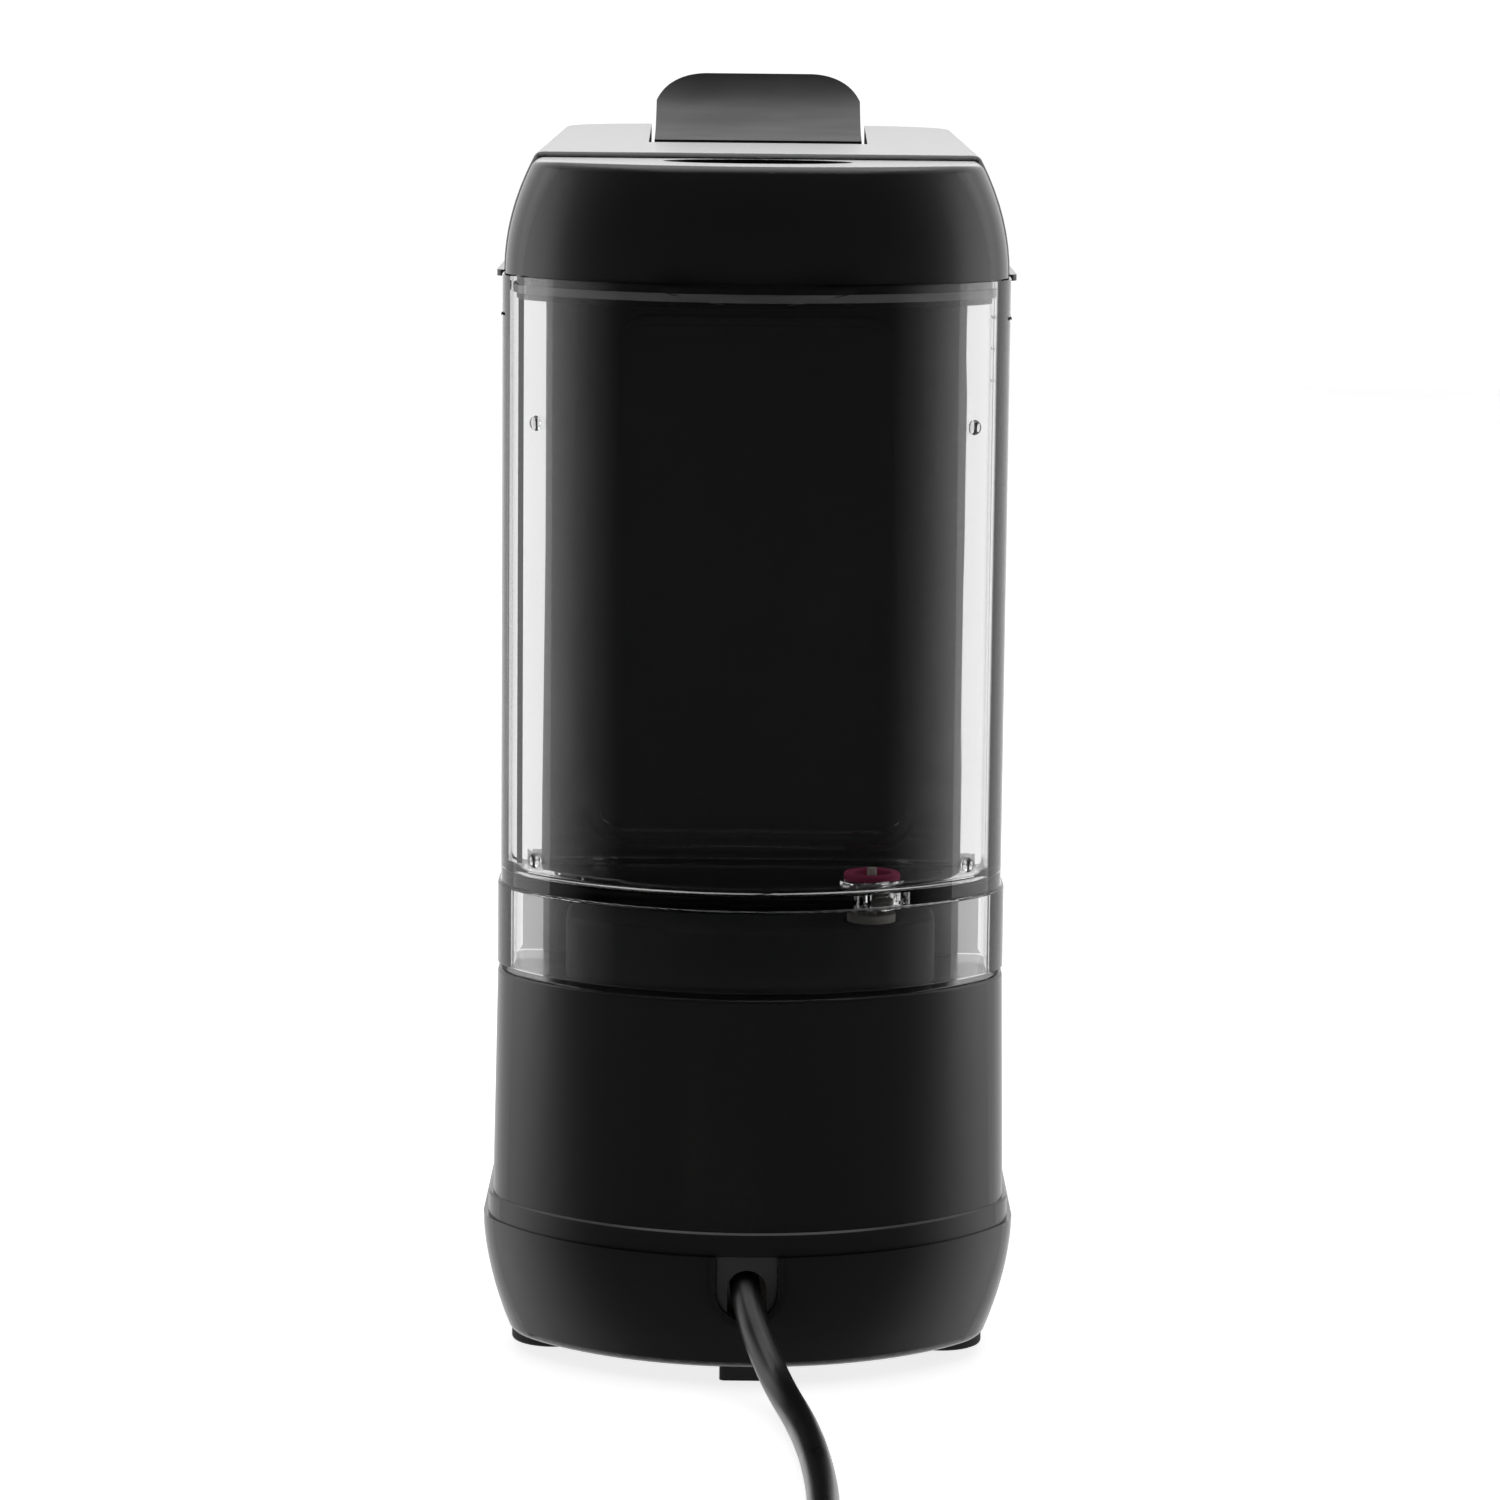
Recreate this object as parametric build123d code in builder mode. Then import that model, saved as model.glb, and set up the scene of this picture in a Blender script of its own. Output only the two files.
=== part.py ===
from build123d import *
import math
import os

# A slim single-serve capsule coffee maker.  +Z is up, the brewing side faces -Y and the clear
# water tank is at the rear (+Y).  The origin is on the ground under the middle of the machine.
# "Depth" is always counted forward (towards -Y) from the middle of the tank's rear wall.

os.makedirs("parts", exist_ok=True)

# ------------------------------------------------------------------ overall sizes (mm)
overall_width = 136.2  # across the top edge of the bottom pan
overall_depth = 308.0
overall_height = 305.7  # ground to the flat top of the head

# heights, from the ground up
foot_height = 4.2
pan_height = 30.4
band_height = 6.1
housing_height = 58.8
tank_gap = 1.7  # shadow gap between housing and tank
skirt_height = 20.8
head_height = 29.9
lid_drop = 1.3  # the tank lid stays this much below the head's top

# half widths step in from the pan's edge
band_step = 1.3
housing_step = 2.6
housing_draft = 1.1
skirt_step = 3.6
tank_step = 4.4
lid_step = 5.2
head_step = 3.9
rim_step = 2.1
column_step = 15.1
brew_head_step = 18.1

# depths
rear_proud = 2.5  # the pan stands this far behind the tank
tank_depth = 57.5
tank_to_column = 1.0
column_depth = 106.5
housing_overlap = 7.0  # the housing's front stands this far in front of the column
brew_head_setback = 15.0

# walls, clearances and small features
wall = 2.4
pan_wall = 2.6
tank_wall = 2.4
fit = 0.3  # clearance between pieces that move against each other
running_fit = 0.05  # radial clearance of a pin in its hole
slide_gap = 0.4
edge_round = 1.0
cord_radius = 3.8

# plan shape: each end of an outline is (bow radius, corner radius); bow 0 is a straight end
rear_bow_depth = 35.41  # how far the rear's bow swells behind its ends
rear_corner = 22.0
front_bow = 160.0
front_corner = 30.0

# crowns
pan_inset = 7.5
lid_inset = 7.2
head_inset = 8.2
loft_steps = 5

# ------------------------------------------------------------------ worked-out levels
pan_z = foot_height
band_z = pan_z + pan_height
housing_z = band_z + band_height
housing_top = housing_z + housing_height
tank_z = housing_top + tank_gap
tank_floor_z = tank_z + skirt_height
head_z = overall_height - head_height
lid_top = overall_height - lid_drop

pan_half = overall_width / 2
band_half = pan_half - band_step
housing_half = pan_half - housing_step
skirt_half = pan_half - skirt_step
tank_half = pan_half - tank_step
lid_half = pan_half - lid_step
head_half = pan_half - head_step
rim_half = pan_half - rim_step
column_half = pan_half - column_step
brew_head_half = pan_half - brew_head_step

pan_rear = overall_depth / 2
pan_front = -overall_depth / 2
tank_rear = pan_rear - rear_proud

rear_bow = (tank_half**2 + rear_bow_depth**2) / (2 * rear_bow_depth)
rear_end = (rear_bow, rear_corner)
front_end = (front_bow, front_corner)


def y_at(depth):
    """Row-frame y of a place this deep in front of the tank's rear wall."""
    return tank_rear - depth


tank_front = y_at(tank_depth)
column_rear = y_at(tank_depth + tank_to_column)
column_front = column_rear - column_depth
housing_front = column_front - housing_overlap


# ------------------------------------------------------------------ shared shapes
def straight_end(corner):
    """A straight end of an outline with round corners."""
    return (0.0, corner)


def end_points(half, end_y, out, end):
    """Side, corner and end points of one end of an outline, on its +X half."""
    bow, corner = end
    if bow == 0:
        lean = corner * (1 - math.sqrt(0.5))
        return (half, end_y - out * corner), (half - lean, end_y - out * lean), (half - corner, end_y)
    centre_y = end_y - out * bow
    corner_x = half - corner
    rise = math.sqrt((bow - corner) ** 2 - corner_x**2)
    swing = math.atan2(rise, corner_x)
    side = (half, centre_y + out * rise)
    middle = (
        corner_x + corner * math.cos(swing / 2),
        centre_y + out * (rise + corner * math.sin(swing / 2)),
    )
    tangent = (bow * math.cos(swing), centre_y + out * bow * math.sin(swing))
    return side, middle, tangent


def outline(half, rear_y, front_y, rear, front):
    """Plan outline with parallel sides: bowed or straight ends and round corners."""
    ends = ((rear_y, 1, rear), (front_y, -1, front))
    with BuildSketch() as plan:
        with BuildLine():
            sides = []
            for end_y, out, end in ends:
                side, middle, tangent = end_points(half, end_y, out, end)
                sides.append(side)
                for hand in (1, -1):
                    start, through, stop = [(hand * x, y) for x, y in (side, middle, tangent)]
                    ThreePointArc(start, through, stop)
                if end[0] == 0:
                    Line(tangent, (-tangent[0], tangent[1]))
                else:
                    ThreePointArc(tangent, (0, end_y), (-tangent[0], tangent[1]))
            for hand in (1, -1):
                Line((hand * sides[0][0], sides[0][1]), (hand * sides[1][0], sides[1][1]))
        make_face()
    return plan.sketch


def prism(half, rear_y, front_y, rear, front, low, high):
    """Straight-sided solid over an outline."""
    with BuildPart() as solid:
        with BuildSketch(Plane.XY.offset(low)):
            add(outline(half, rear_y, front_y, rear, front))
        extrude(amount=high - low)
    return solid.part


def crowned(half, rear_y, front_y, rear, front, edge_z, tip_z, inset, power=2.0):
    """Solid whose sides draw in ever faster from its edge to its tip; straight ends stay put."""
    with BuildPart() as solid:
        for step in range(loft_steps + 1):
            share = step / loft_steps
            pull = inset * share**power
            with BuildSketch(Plane.XY.offset(edge_z + (tip_z - edge_z) * share)):
                rear_pull = pull if rear[0] else 0.0
                front_pull = pull if front[0] else 0.0
                add(outline(half - pull, rear_y - rear_pull, front_y + front_pull, rear, front))
        loft()
    return solid.part


def tube(centre, low, high, outer, inner=0.0):
    """Upright round tube, or a rod when it has no inner radius."""
    with BuildPart() as solid:
        with BuildSketch(Plane(origin=(centre[0], centre[1], low))):
            Circle(outer)
            if inner:
                Circle(inner, mode=Mode.SUBTRACT)
        extrude(amount=high - low)
    return solid.part


def block(x_span, y_span, z_span):
    """Box between two values on each axis."""
    with BuildPart() as solid:
        with BuildSketch(Plane.XY.offset(z_span[0])):
            with Locations(((x_span[0] + x_span[1]) / 2, (y_span[0] + y_span[1]) / 2)):
                Rectangle(x_span[1] - x_span[0], y_span[1] - y_span[0])
        extrude(amount=z_span[1] - z_span[0])
    return solid.part


def save(piece, name):
    """Label one finished piece and write it to its own file."""
    piece.part.label = name
    export_step(piece.part, f"parts/{name}.step")


# ------------------------------------------------------------------ feet
foot_radius = 10.85
foot_side_inset = 18.1  # from the pan's side to a foot's centre
foot_inset = 49.5  # depth of the foot centres from the nearer end of the machine
rear_foot_width = 13.5
rear_foot_length = 12.0
rear_foot_depth = 9.0

foot_places = [
    (hand * (pan_half - foot_side_inset), y)
    for hand in (1, -1)
    for y in (y_at(foot_inset), pan_front + rear_proud + foot_inset)
]

with BuildPart() as round_feet:
    for place in foot_places:
        add(tube(place, 0, foot_height, foot_radius))
    fillet(round_feet.edges().filter_by(GeomType.CIRCLE).group_by(Axis.Z)[0], 0.8)
save(round_feet, "round_feet")

with BuildPart() as rear_foot:
    add(
        block(
            (-rear_foot_width / 2, rear_foot_width / 2),
            (y_at(rear_foot_depth + rear_foot_length), y_at(rear_foot_depth)),
            (0, foot_height),
        )
    )
    fillet(rear_foot.edges().filter_by(Axis.Z), 1.5)
save(rear_foot, "rear_foot")

# ------------------------------------------------------------------ bottom pan and its cord outlet
pan_bottom_round = 3.0
notch_half = 7.75
notch_height = 16.4
notch_rim = 1.6
notch_rim_proud = 0.2  # the rim stops this far inside the pan's rearmost line
screw_radius = 1.4
screw_head_radius = 3.0
screw_head_height = 1.3
post_radius = 4.5
post_side_inset = 20.1
rear_post_depth = 80.0
front_post_setback = 74.0

post_places = [(hand * (pan_half - post_side_inset), y_at(rear_post_depth)) for hand in (1, -1)]
front_post_places = [(x, pan_front + front_post_setback) for x, _ in post_places]
pan_inner_z = pan_z + pan_wall


def notch_shape(grow):
    """Round-bottomed notch as drawn on the rear, open at the pan's top edge."""
    half = notch_half + grow
    centre_z = band_z - notch_height + notch_half
    with BuildSketch(Plane.XZ) as shape:
        with Locations((0, centre_z)):
            Circle(half)
        with Locations((0, (centre_z + band_z) / 2)):
            Rectangle(2 * half, band_z - centre_z)
        with Locations((0, band_z + half)):
            Rectangle(4 * half, 2 * half, mode=Mode.SUBTRACT)
    return shape.sketch


def notch_solid(grow, rear_y, front_y):
    """The notch's shape carried through from one y to another."""
    with BuildPart() as solid:
        with BuildSketch(Plane.XZ.offset(-rear_y)):
            add(notch_shape(grow))
        extrude(amount=rear_y - front_y)
    return solid.part


with BuildPart() as base_pan:
    add(crowned(pan_half, pan_rear, pan_front, rear_end, front_end, band_z, pan_z, pan_inset, 1.8))
    fillet(base_pan.faces().sort_by(Axis.Z)[0].edges(), pan_bottom_round)
    inner_half = pan_half - pan_wall
    add(
        crowned(
            inner_half,
            pan_rear - pan_wall,
            pan_front + pan_wall,
            rear_end,
            front_end,
            band_z,
            pan_inner_z,
            pan_inset,
            1.8,
        ),
        mode=Mode.SUBTRACT,
    )
    add(notch_solid(notch_rim, pan_rear - notch_rim_proud, pan_rear - pan_wall - notch_rim))
    add(notch_solid(0, pan_rear + 1, pan_rear - 3 * pan_wall), mode=Mode.SUBTRACT)
    for x, y in post_places + front_post_places:
        add(tube((x, y), pan_z, pan_inner_z, screw_radius + 0.2), mode=Mode.SUBTRACT)
        add(tube((x, y), pan_z, pan_z + screw_head_height, screw_head_radius + 0.2), mode=Mode.SUBTRACT)
save(base_pan, "base_pan")

arch_gap = 1.1  # between the cord and the arch it leaves through
arch_half = cord_radius + arch_gap
arch_drop = 3.4  # the arch's top, below the pan's top edge
panel_thickness = 2.2
panel_recess = 1.0
arch_top = band_z - arch_drop

with BuildPart() as cord_panel:
    add(notch_solid(-0.2, pan_rear - panel_recess, pan_rear - panel_recess - panel_thickness))
    with BuildSketch(Plane.XZ.offset(-pan_rear)):
        with Locations((0, arch_top - arch_half)):
            Circle(arch_half)
        with Locations((0, (arch_top - arch_half + pan_z) / 2)):
            Rectangle(2 * arch_half, arch_top - arch_half - pan_z)
    extrude(amount=3 * pan_wall, mode=Mode.SUBTRACT)
save(cord_panel, "cord_panel")

with BuildPart() as pan_screws:
    for place in post_places + front_post_places:
        add(tube(place, pan_z, pan_z + screw_head_height, screw_head_radius))
        add(tube(place, pan_z + screw_head_height, pan_inner_z + 10, screw_radius))
save(pan_screws, "pan_screws")

# ------------------------------------------------------------------ trim band and lower housing
band_width = 4.0
band_setback = 0.8

with BuildPart() as base_band:
    band_rear = pan_rear - band_setback
    band_front = pan_front + band_setback
    add(prism(band_half, band_rear, band_front, rear_end, front_end, band_z, housing_z))
    chamfer(base_band.faces().sort_by(Axis.Z)[-1].edges(), 0.5)
    add(
        prism(
            band_half - band_width,
            band_rear - band_width,
            band_front + band_width,
            rear_end,
            front_end,
            band_z,
            housing_z,
        ),
        mode=Mode.SUBTRACT,
    )
save(base_band, "base_band")

deck_thickness = 2.8
housing_corner = 12.0
housing_rear = pan_rear - 1.4
inlet_x = -30.0
inlet_depth = 25.0
inlet = (inlet_x, y_at(inlet_depth))
socket_radius = 6.0
shaft_margin = 8.0  # the deck's opening stays this far inside the column
deck_z = housing_top - deck_thickness

with BuildPart() as base_housing:
    front = straight_end(housing_corner)
    add(
        crowned(
            housing_half, housing_rear, housing_front, rear_end, front, housing_z, housing_top, housing_draft, 1.0
        )
    )
    fillet(base_housing.faces().sort_by(Axis.Z)[-1].edges(), edge_round)
    add(
        crowned(
            housing_half - wall,
            housing_rear - wall,
            housing_front + wall,
            rear_end,
            front,
            housing_z,
            deck_z,
            housing_draft,
            1.0,
        ),
        mode=Mode.SUBTRACT,
    )
    opening_half = column_half - shaft_margin
    add(
        block(
            (-opening_half, opening_half),
            (column_front + shaft_margin, column_rear - shaft_margin),
            (deck_z, housing_top),
        ),
        mode=Mode.SUBTRACT,
    )
    add(tube(inlet, deck_z, housing_top, socket_radius + fit), mode=Mode.SUBTRACT)
    for place in post_places:
        add(tube(place, pan_inner_z, deck_z, post_radius))
        add(tube(place, pan_inner_z, pan_inner_z + 10, screw_radius), mode=Mode.SUBTRACT)
save(base_housing, "base_housing")

# ------------------------------------------------------------------ front deck, drip tray and grille
front_deck_thickness = 3.8
front_setback = 1.6
rail_half = 2.5
rail_height = 1.2
rail_x = 40.0
deck_top = housing_z + front_deck_thickness
tray_rear_gap = 0.6
tray_step = 2.2  # the tray stays this far inside the deck's edge
tray_height = 17.4
tray_wall = 2.2
tray_ledge = 2.0
grille_thickness = 2.2
grille_pitch = 8.0
grille_slot = 4.0
deck_rear = housing_front - fit
deck_front = pan_front + front_setback

with BuildPart() as front_deck:
    add(
        prism(housing_half, deck_rear, deck_front, straight_end(2.0), front_end, housing_z, deck_top)
    )
    fillet(front_deck.faces().sort_by(Axis.Z)[-1].edges(), edge_round)
    for hand in (1, -1):
        x = hand * rail_x
        span = (x - rail_half, x + rail_half)
        add(block(span, (deck_front + 20, deck_rear - 6), (deck_top, deck_top + rail_height)))
    for place in front_post_places:
        add(tube(place, pan_inner_z, housing_z, post_radius))
        add(tube(place, pan_inner_z, pan_inner_z + 10, screw_radius), mode=Mode.SUBTRACT)
save(front_deck, "front_deck")

tray_z = deck_top + fit
tray_top = tray_z + tray_height
tray_half = housing_half - tray_step
tray_rear = deck_rear - tray_rear_gap
tray_front = deck_front + tray_step / 2
grille_z = tray_top - grille_thickness - fit
ledge_z = grille_z - fit

with BuildPart() as drip_tray:
    ends = (straight_end(4.0), front_end)
    add(prism(tray_half, tray_rear, tray_front, *ends, tray_z, tray_top))
    fillet(drip_tray.faces().sort_by(Axis.Z)[-1].edges(), 0.8)
    for inset, low in ((tray_wall, ledge_z), (tray_wall + tray_ledge, tray_z + tray_wall)):
        add(
            prism(tray_half - inset, tray_rear - inset, tray_front + inset, *ends, low, tray_top),
            mode=Mode.SUBTRACT,
        )
    for hand in (1, -1):
        x = hand * rail_x
        groove = rail_half + slide_gap
        add(
            block((x - groove, x + groove), (tray_front - 1, tray_rear + 1), (tray_z, tray_z + rail_height)),
            mode=Mode.SUBTRACT,
        )
save(drip_tray, "drip_tray")

with BuildPart() as drip_grille:
    inset = tray_wall + slide_gap
    add(
        prism(
            tray_half - inset,
            tray_rear - inset,
            tray_front + inset,
            *ends,
            grille_z,
            grille_z + grille_thickness,
        )
    )
    slot_length = tray_rear - tray_front - 2 * inset - 36
    slot_count = int((2 * tray_half - 40) // grille_pitch)
    with BuildSketch(Plane.XY.offset(grille_z)):
        with Locations((0, (tray_rear + tray_front) / 2)):
            with GridLocations(grille_pitch, 0, slot_count, 1):
                SlotOverall(slot_length, grille_slot, rotation=90)
    extrude(amount=grille_thickness, mode=Mode.SUBTRACT)
save(drip_grille, "drip_grille")

# ------------------------------------------------------------------ tank seat and water inlet
seat_side_inset = 22.1
seat_height = 16.0
seat_rear_depth = 9.0
seat_front_depth = 49.0
seat_wall = 2.5
socket_bore = 3.6
socket_top = tank_floor_z - 4.5
gasket_thickness = 1.2
seat_top = housing_top + seat_height

with BuildPart() as tank_seat:
    seat_ends = ((rear_end[0], 14.0), straight_end(6.0))
    half = pan_half - seat_side_inset
    add(prism(half, y_at(seat_rear_depth), y_at(seat_front_depth), *seat_ends, housing_top, seat_top))
    fillet(tank_seat.faces().sort_by(Axis.Z)[-1].edges(), 1.5)
    add(
        prism(
            half - seat_wall,
            y_at(seat_rear_depth + seat_wall),
            y_at(seat_front_depth - seat_wall),
            *seat_ends,
            housing_top,
            seat_top - seat_wall,
        ),
        mode=Mode.SUBTRACT,
    )
    add(tube(inlet, housing_top, seat_top, socket_radius + gasket_thickness), mode=Mode.SUBTRACT)
save(tank_seat, "tank_seat")

socket_low = deck_z - 12.0
pin_radius = 1.3

with BuildPart() as inlet_socket:
    add(tube(inlet, socket_low, socket_top, socket_radius, socket_bore))
    add(tube(inlet, deck_z - 2, deck_z, socket_radius + 4, socket_bore))
    bar = block(
        (inlet[0] - socket_bore - 1, inlet[0] + socket_bore + 1),
        (inlet[1] - 1, inlet[1] + 1),
        (socket_top - 8, socket_top - 5),
    )
    add(bar)
    add(tube(inlet, socket_top - 5, socket_top + 1.6, pin_radius))
save(inlet_socket, "inlet_socket")

with BuildPart() as inlet_gasket:
    add(tube(inlet, seat_top - seat_wall, seat_top, socket_radius + gasket_thickness, socket_radius))
save(inlet_gasket, "inlet_gasket")

# ------------------------------------------------------------------ water tank
skirt_proud = 0.8
floor_thickness = 2.5
tank_corner = 6.0
channel_depth = 13.0
channel_low_rise = 8.5  # above the tank's inner floor
channel_top_drop = 12.8  # below the tank's rim
channel_low_half = 39.0
channel_top_half = 32.8
channel_corner = 7.0
spout_half = 26.0
spout_height = 4.2
spout_proud = 1.6
mark_radius = 2.0
mark_side_inset = 14.1
mark_low_rise = 5.5  # above the tank's inner floor
mark_high_drop = 35.8  # below the tank's rim
seam_half = 0.25  # the mould's parting line down the rear wall
seam_proud = 0.15
valve_flange = 8.0
valve_radius = 7.0
inner_floor_z = tank_floor_z + floor_thickness
tank_ends = (rear_end, straight_end(tank_corner))


def channel(grow, depth):
    """Hand-grip channel in the tank's front wall, tapering towards the top."""
    low_z = inner_floor_z + channel_low_rise - grow
    high_z = head_z - channel_top_drop + grow
    with BuildPart() as solid:
        with BuildSketch(Plane.XZ.offset(-tank_front)) as face:
            with BuildLine():
                Polyline(
                    (-channel_low_half - grow, low_z),
                    (channel_low_half + grow, low_z),
                    (channel_top_half + grow, high_z),
                    (-channel_top_half - grow, high_z),
                    close=True,
                )
            make_face()
            fillet(face.vertices(), channel_corner + grow)
        extrude(amount=-depth)
    return solid.part


with BuildPart() as water_tank:
    add(
        prism(skirt_half, tank_rear + skirt_proud, tank_front, *tank_ends, tank_z, tank_floor_z)
    )
    fillet(water_tank.faces().sort_by(Axis.Z)[-1].edges(), 0.6)
    add(
        prism(
            skirt_half - tank_wall,
            tank_rear + skirt_proud - tank_wall,
            tank_front + tank_wall,
            *tank_ends,
            tank_z,
            tank_floor_z - 0.01,
        ),
        mode=Mode.SUBTRACT,
    )
    add(prism(tank_half, tank_rear, tank_front, *tank_ends, tank_floor_z - 1, head_z))
    add(channel(0, channel_depth), mode=Mode.SUBTRACT)
    with BuildPart(mode=Mode.PRIVATE) as cavity:
        add(
            prism(
                tank_half - tank_wall,
                tank_rear - tank_wall,
                tank_front + tank_wall,
                *tank_ends,
                inner_floor_z,
                head_z,
            )
        )
        add(channel(tank_wall, channel_depth + tank_wall), mode=Mode.SUBTRACT)
        fillet(cavity.faces().sort_by(Axis.Z)[0].edges(), 3.5)
    add(cavity.part, mode=Mode.SUBTRACT)
    with BuildSketch(Plane.XZ.offset(-tank_rear - spout_proud)):
        with BuildLine():
            top_z = head_z - 0.6
            Line((-spout_half, top_z), (spout_half, top_z))
            ThreePointArc((-spout_half, top_z), (0, top_z - spout_height), (spout_half, top_z))
        make_face()
    extrude(amount=spout_proud + tank_wall)
    add(
        prism(
            tank_half - tank_wall,
            tank_rear - tank_wall,
            tank_front + tank_wall,
            *tank_ends,
            head_z - spout_height - 2,
            head_z,
        ),
        mode=Mode.SUBTRACT,
    )
    bow = rear_end[0]
    mark_half = pan_half - mark_side_inset
    mark_y = tank_rear - bow + math.sqrt(bow**2 - mark_half**2)
    for level in (inner_floor_z + mark_low_rise, head_z - mark_high_drop):
        for hand in (1, -1):
            with Locations((hand * mark_half, mark_y - 0.8, level)):
                Sphere(mark_radius)
    add(
        prism(
            tank_half - tank_wall,
            tank_rear - tank_wall,
            (tank_rear + tank_front) / 2,
            rear_end,
            straight_end(1.0),
            inner_floor_z + 4,
            head_z,
        ),
        mode=Mode.SUBTRACT,
    )
    add(tube(inlet, tank_floor_z - 2, inner_floor_z + 2, valve_radius), mode=Mode.SUBTRACT)
    seam_span = (tank_floor_z + 2, head_z - spout_height - 3)
    add(block((-seam_half, seam_half), (tank_rear - 1, tank_rear + seam_proud), seam_span))
save(water_tank, "water_tank")

# ------------------------------------------------------------------ tank valve
valve_lip = 3.4
valve_bore = 4.6
valve_low = tank_floor_z - 3.0
valve_top = inner_floor_z + 1.4
lip_top = valve_low + 1.2
poppet_radius = 4.2
poppet_height = 1.4
stem_radius = 1.2
stem_top = valve_top + 3.0
spring_wire = 0.35
spring_radius = 2.4
seal_outer = 7.0
seal_thickness = 2.0

with BuildPart() as valve_body:
    add(tube(inlet, valve_low, valve_top, valve_radius, valve_bore))
    add(tube(inlet, inner_floor_z, valve_top, valve_flange, valve_bore))
    add(tube(inlet, valve_low, lip_top, valve_radius, valve_lip))
    add(tube(inlet, valve_top - 0.8, valve_top, valve_bore + 0.5, stem_radius + fit))
save(valve_body, "valve_body")

with BuildPart() as valve_seal:
    add(tube(inlet, valve_top, valve_top + seal_thickness, seal_outer, valve_bore))
    fillet(valve_seal.edges().filter_by(GeomType.CIRCLE), 0.6)
save(valve_seal, "valve_seal")

with BuildPart() as valve_poppet:
    add(tube(inlet, lip_top + 0.05, lip_top + 0.05 + poppet_height, poppet_radius))
    add(tube(inlet, lip_top + 0.05 + poppet_height, stem_top, stem_radius))
    add(tube(inlet, valve_low + 0.6, lip_top + 0.05, stem_radius))
save(valve_poppet, "valve_poppet")

spring_low = lip_top + poppet_height + 0.15 + spring_wire
spring_high = valve_top - 0.9 - spring_wire

with BuildPart() as valve_spring:
    with BuildLine(Plane(origin=(inlet[0], inlet[1], spring_low))) as coil_line:
        Helix(pitch=(spring_high - spring_low) / 2.5, height=spring_high - spring_low, radius=spring_radius)
    with BuildSketch(Plane(origin=coil_line.line @ 0, z_dir=coil_line.line % 0)):
        Circle(spring_wire)
    sweep(path=coil_line.line)
save(valve_spring, "valve_spring")

# ------------------------------------------------------------------ tank lid
lid_lip_depth = 6.0
lid_lip_wall = 1.8
lid_round = 3.0
dish_half_width = 23.5
dish_half_length = 14.0
dish_depth = 2.0
dish_center_depth = 39.0
lid_rear = tank_rear - (lid_step - tank_step)
lid_edge_z = head_z + fit
lid_ends = (rear_end, straight_end(3.0))
lip_half = tank_half - tank_wall - 1.2
lip_rear = tank_rear - tank_wall - 1.2
lip_front = tank_front + tank_wall + 1.2
lip_ends = (rear_end, straight_end(tank_corner))


def dish(grow, low, high):
    """Oval finger dish in the lid's top."""
    with BuildPart() as solid:
        with BuildSketch(Plane.XY.offset(low)):
            with Locations((0, y_at(dish_center_depth))):
                Ellipse(dish_half_width + grow, dish_half_length + grow)
        extrude(amount=high - low)
    return solid.part


with BuildPart() as tank_lid:
    add(crowned(lid_half, lid_rear, tank_front, *lid_ends, lid_edge_z, lid_top, lid_inset))
    fillet(tank_lid.faces().sort_by(Axis.Z)[-1].edges(), lid_round)
    add(
        crowned(
            lid_half - wall, lid_rear - wall, tank_front + wall, *lid_ends, lid_edge_z, lid_top - wall, lid_inset
        ),
        mode=Mode.SUBTRACT,
    )
    add(dish(wall, lid_top - wall - dish_depth, lid_top - wall))
    add(dish(0, lid_top - dish_depth, lid_top), mode=Mode.SUBTRACT)
    add(prism(lip_half + 2, lip_rear + 2, lip_front - 2, *lip_ends, lid_edge_z, lid_edge_z + 1.6))
    add(prism(lip_half, lip_rear, lip_front, *lip_ends, lid_edge_z - lid_lip_depth, lid_edge_z + 1.6))
    inset = lid_lip_wall
    add(
        prism(
            lip_half - inset,
            lip_rear - inset,
            lip_front + inset,
            *lip_ends,
            lid_edge_z - lid_lip_depth,
            lid_edge_z + 2,
        ),
        mode=Mode.SUBTRACT,
    )
save(tank_lid, "tank_lid")

gasket_low = lid_edge_z - lid_lip_depth + 1.5

with BuildPart() as lid_gasket:
    reach = 0.8
    band = (gasket_low, gasket_low + 2)
    add(prism(lip_half + reach, lip_rear + reach, lip_front - reach, *lip_ends, *band))
    add(prism(lip_half, lip_rear, lip_front, *lip_ends, *band), mode=Mode.SUBTRACT)
save(lid_gasket, "lid_gasket")

# ------------------------------------------------------------------ column
column_split = 50.0  # from the column's rear face to the joint between its two covers
column_corner = 13.0
column_top_drop = 4.2  # below the head cover's lower edge
column_top = head_z - column_top_drop
column_ends = (straight_end(column_corner), straight_end(column_corner))


def column_slice(rear_y, front_y):
    """Part of the hollow column between two y values."""
    with BuildPart() as solid:
        add(prism(column_half, column_rear, column_front, *column_ends, housing_top, column_top))
        add(
            prism(
                column_half - wall, column_rear - wall, column_front + wall, *column_ends, housing_top, column_top
            ),
            mode=Mode.SUBTRACT,
        )
        add(
            block((-pan_half, pan_half), (front_y, rear_y), (housing_top, column_top)),
            mode=Mode.INTERSECT,
        )
    return solid.part


split_y = column_rear - column_split

with BuildPart() as column_rear_cover:
    add(column_slice(column_rear, split_y))
save(column_rear_cover, "column_rear_cover")

with BuildPart() as column_front_cover:
    add(column_slice(split_y, column_front))
save(column_front_cover, "column_front_cover")

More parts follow.
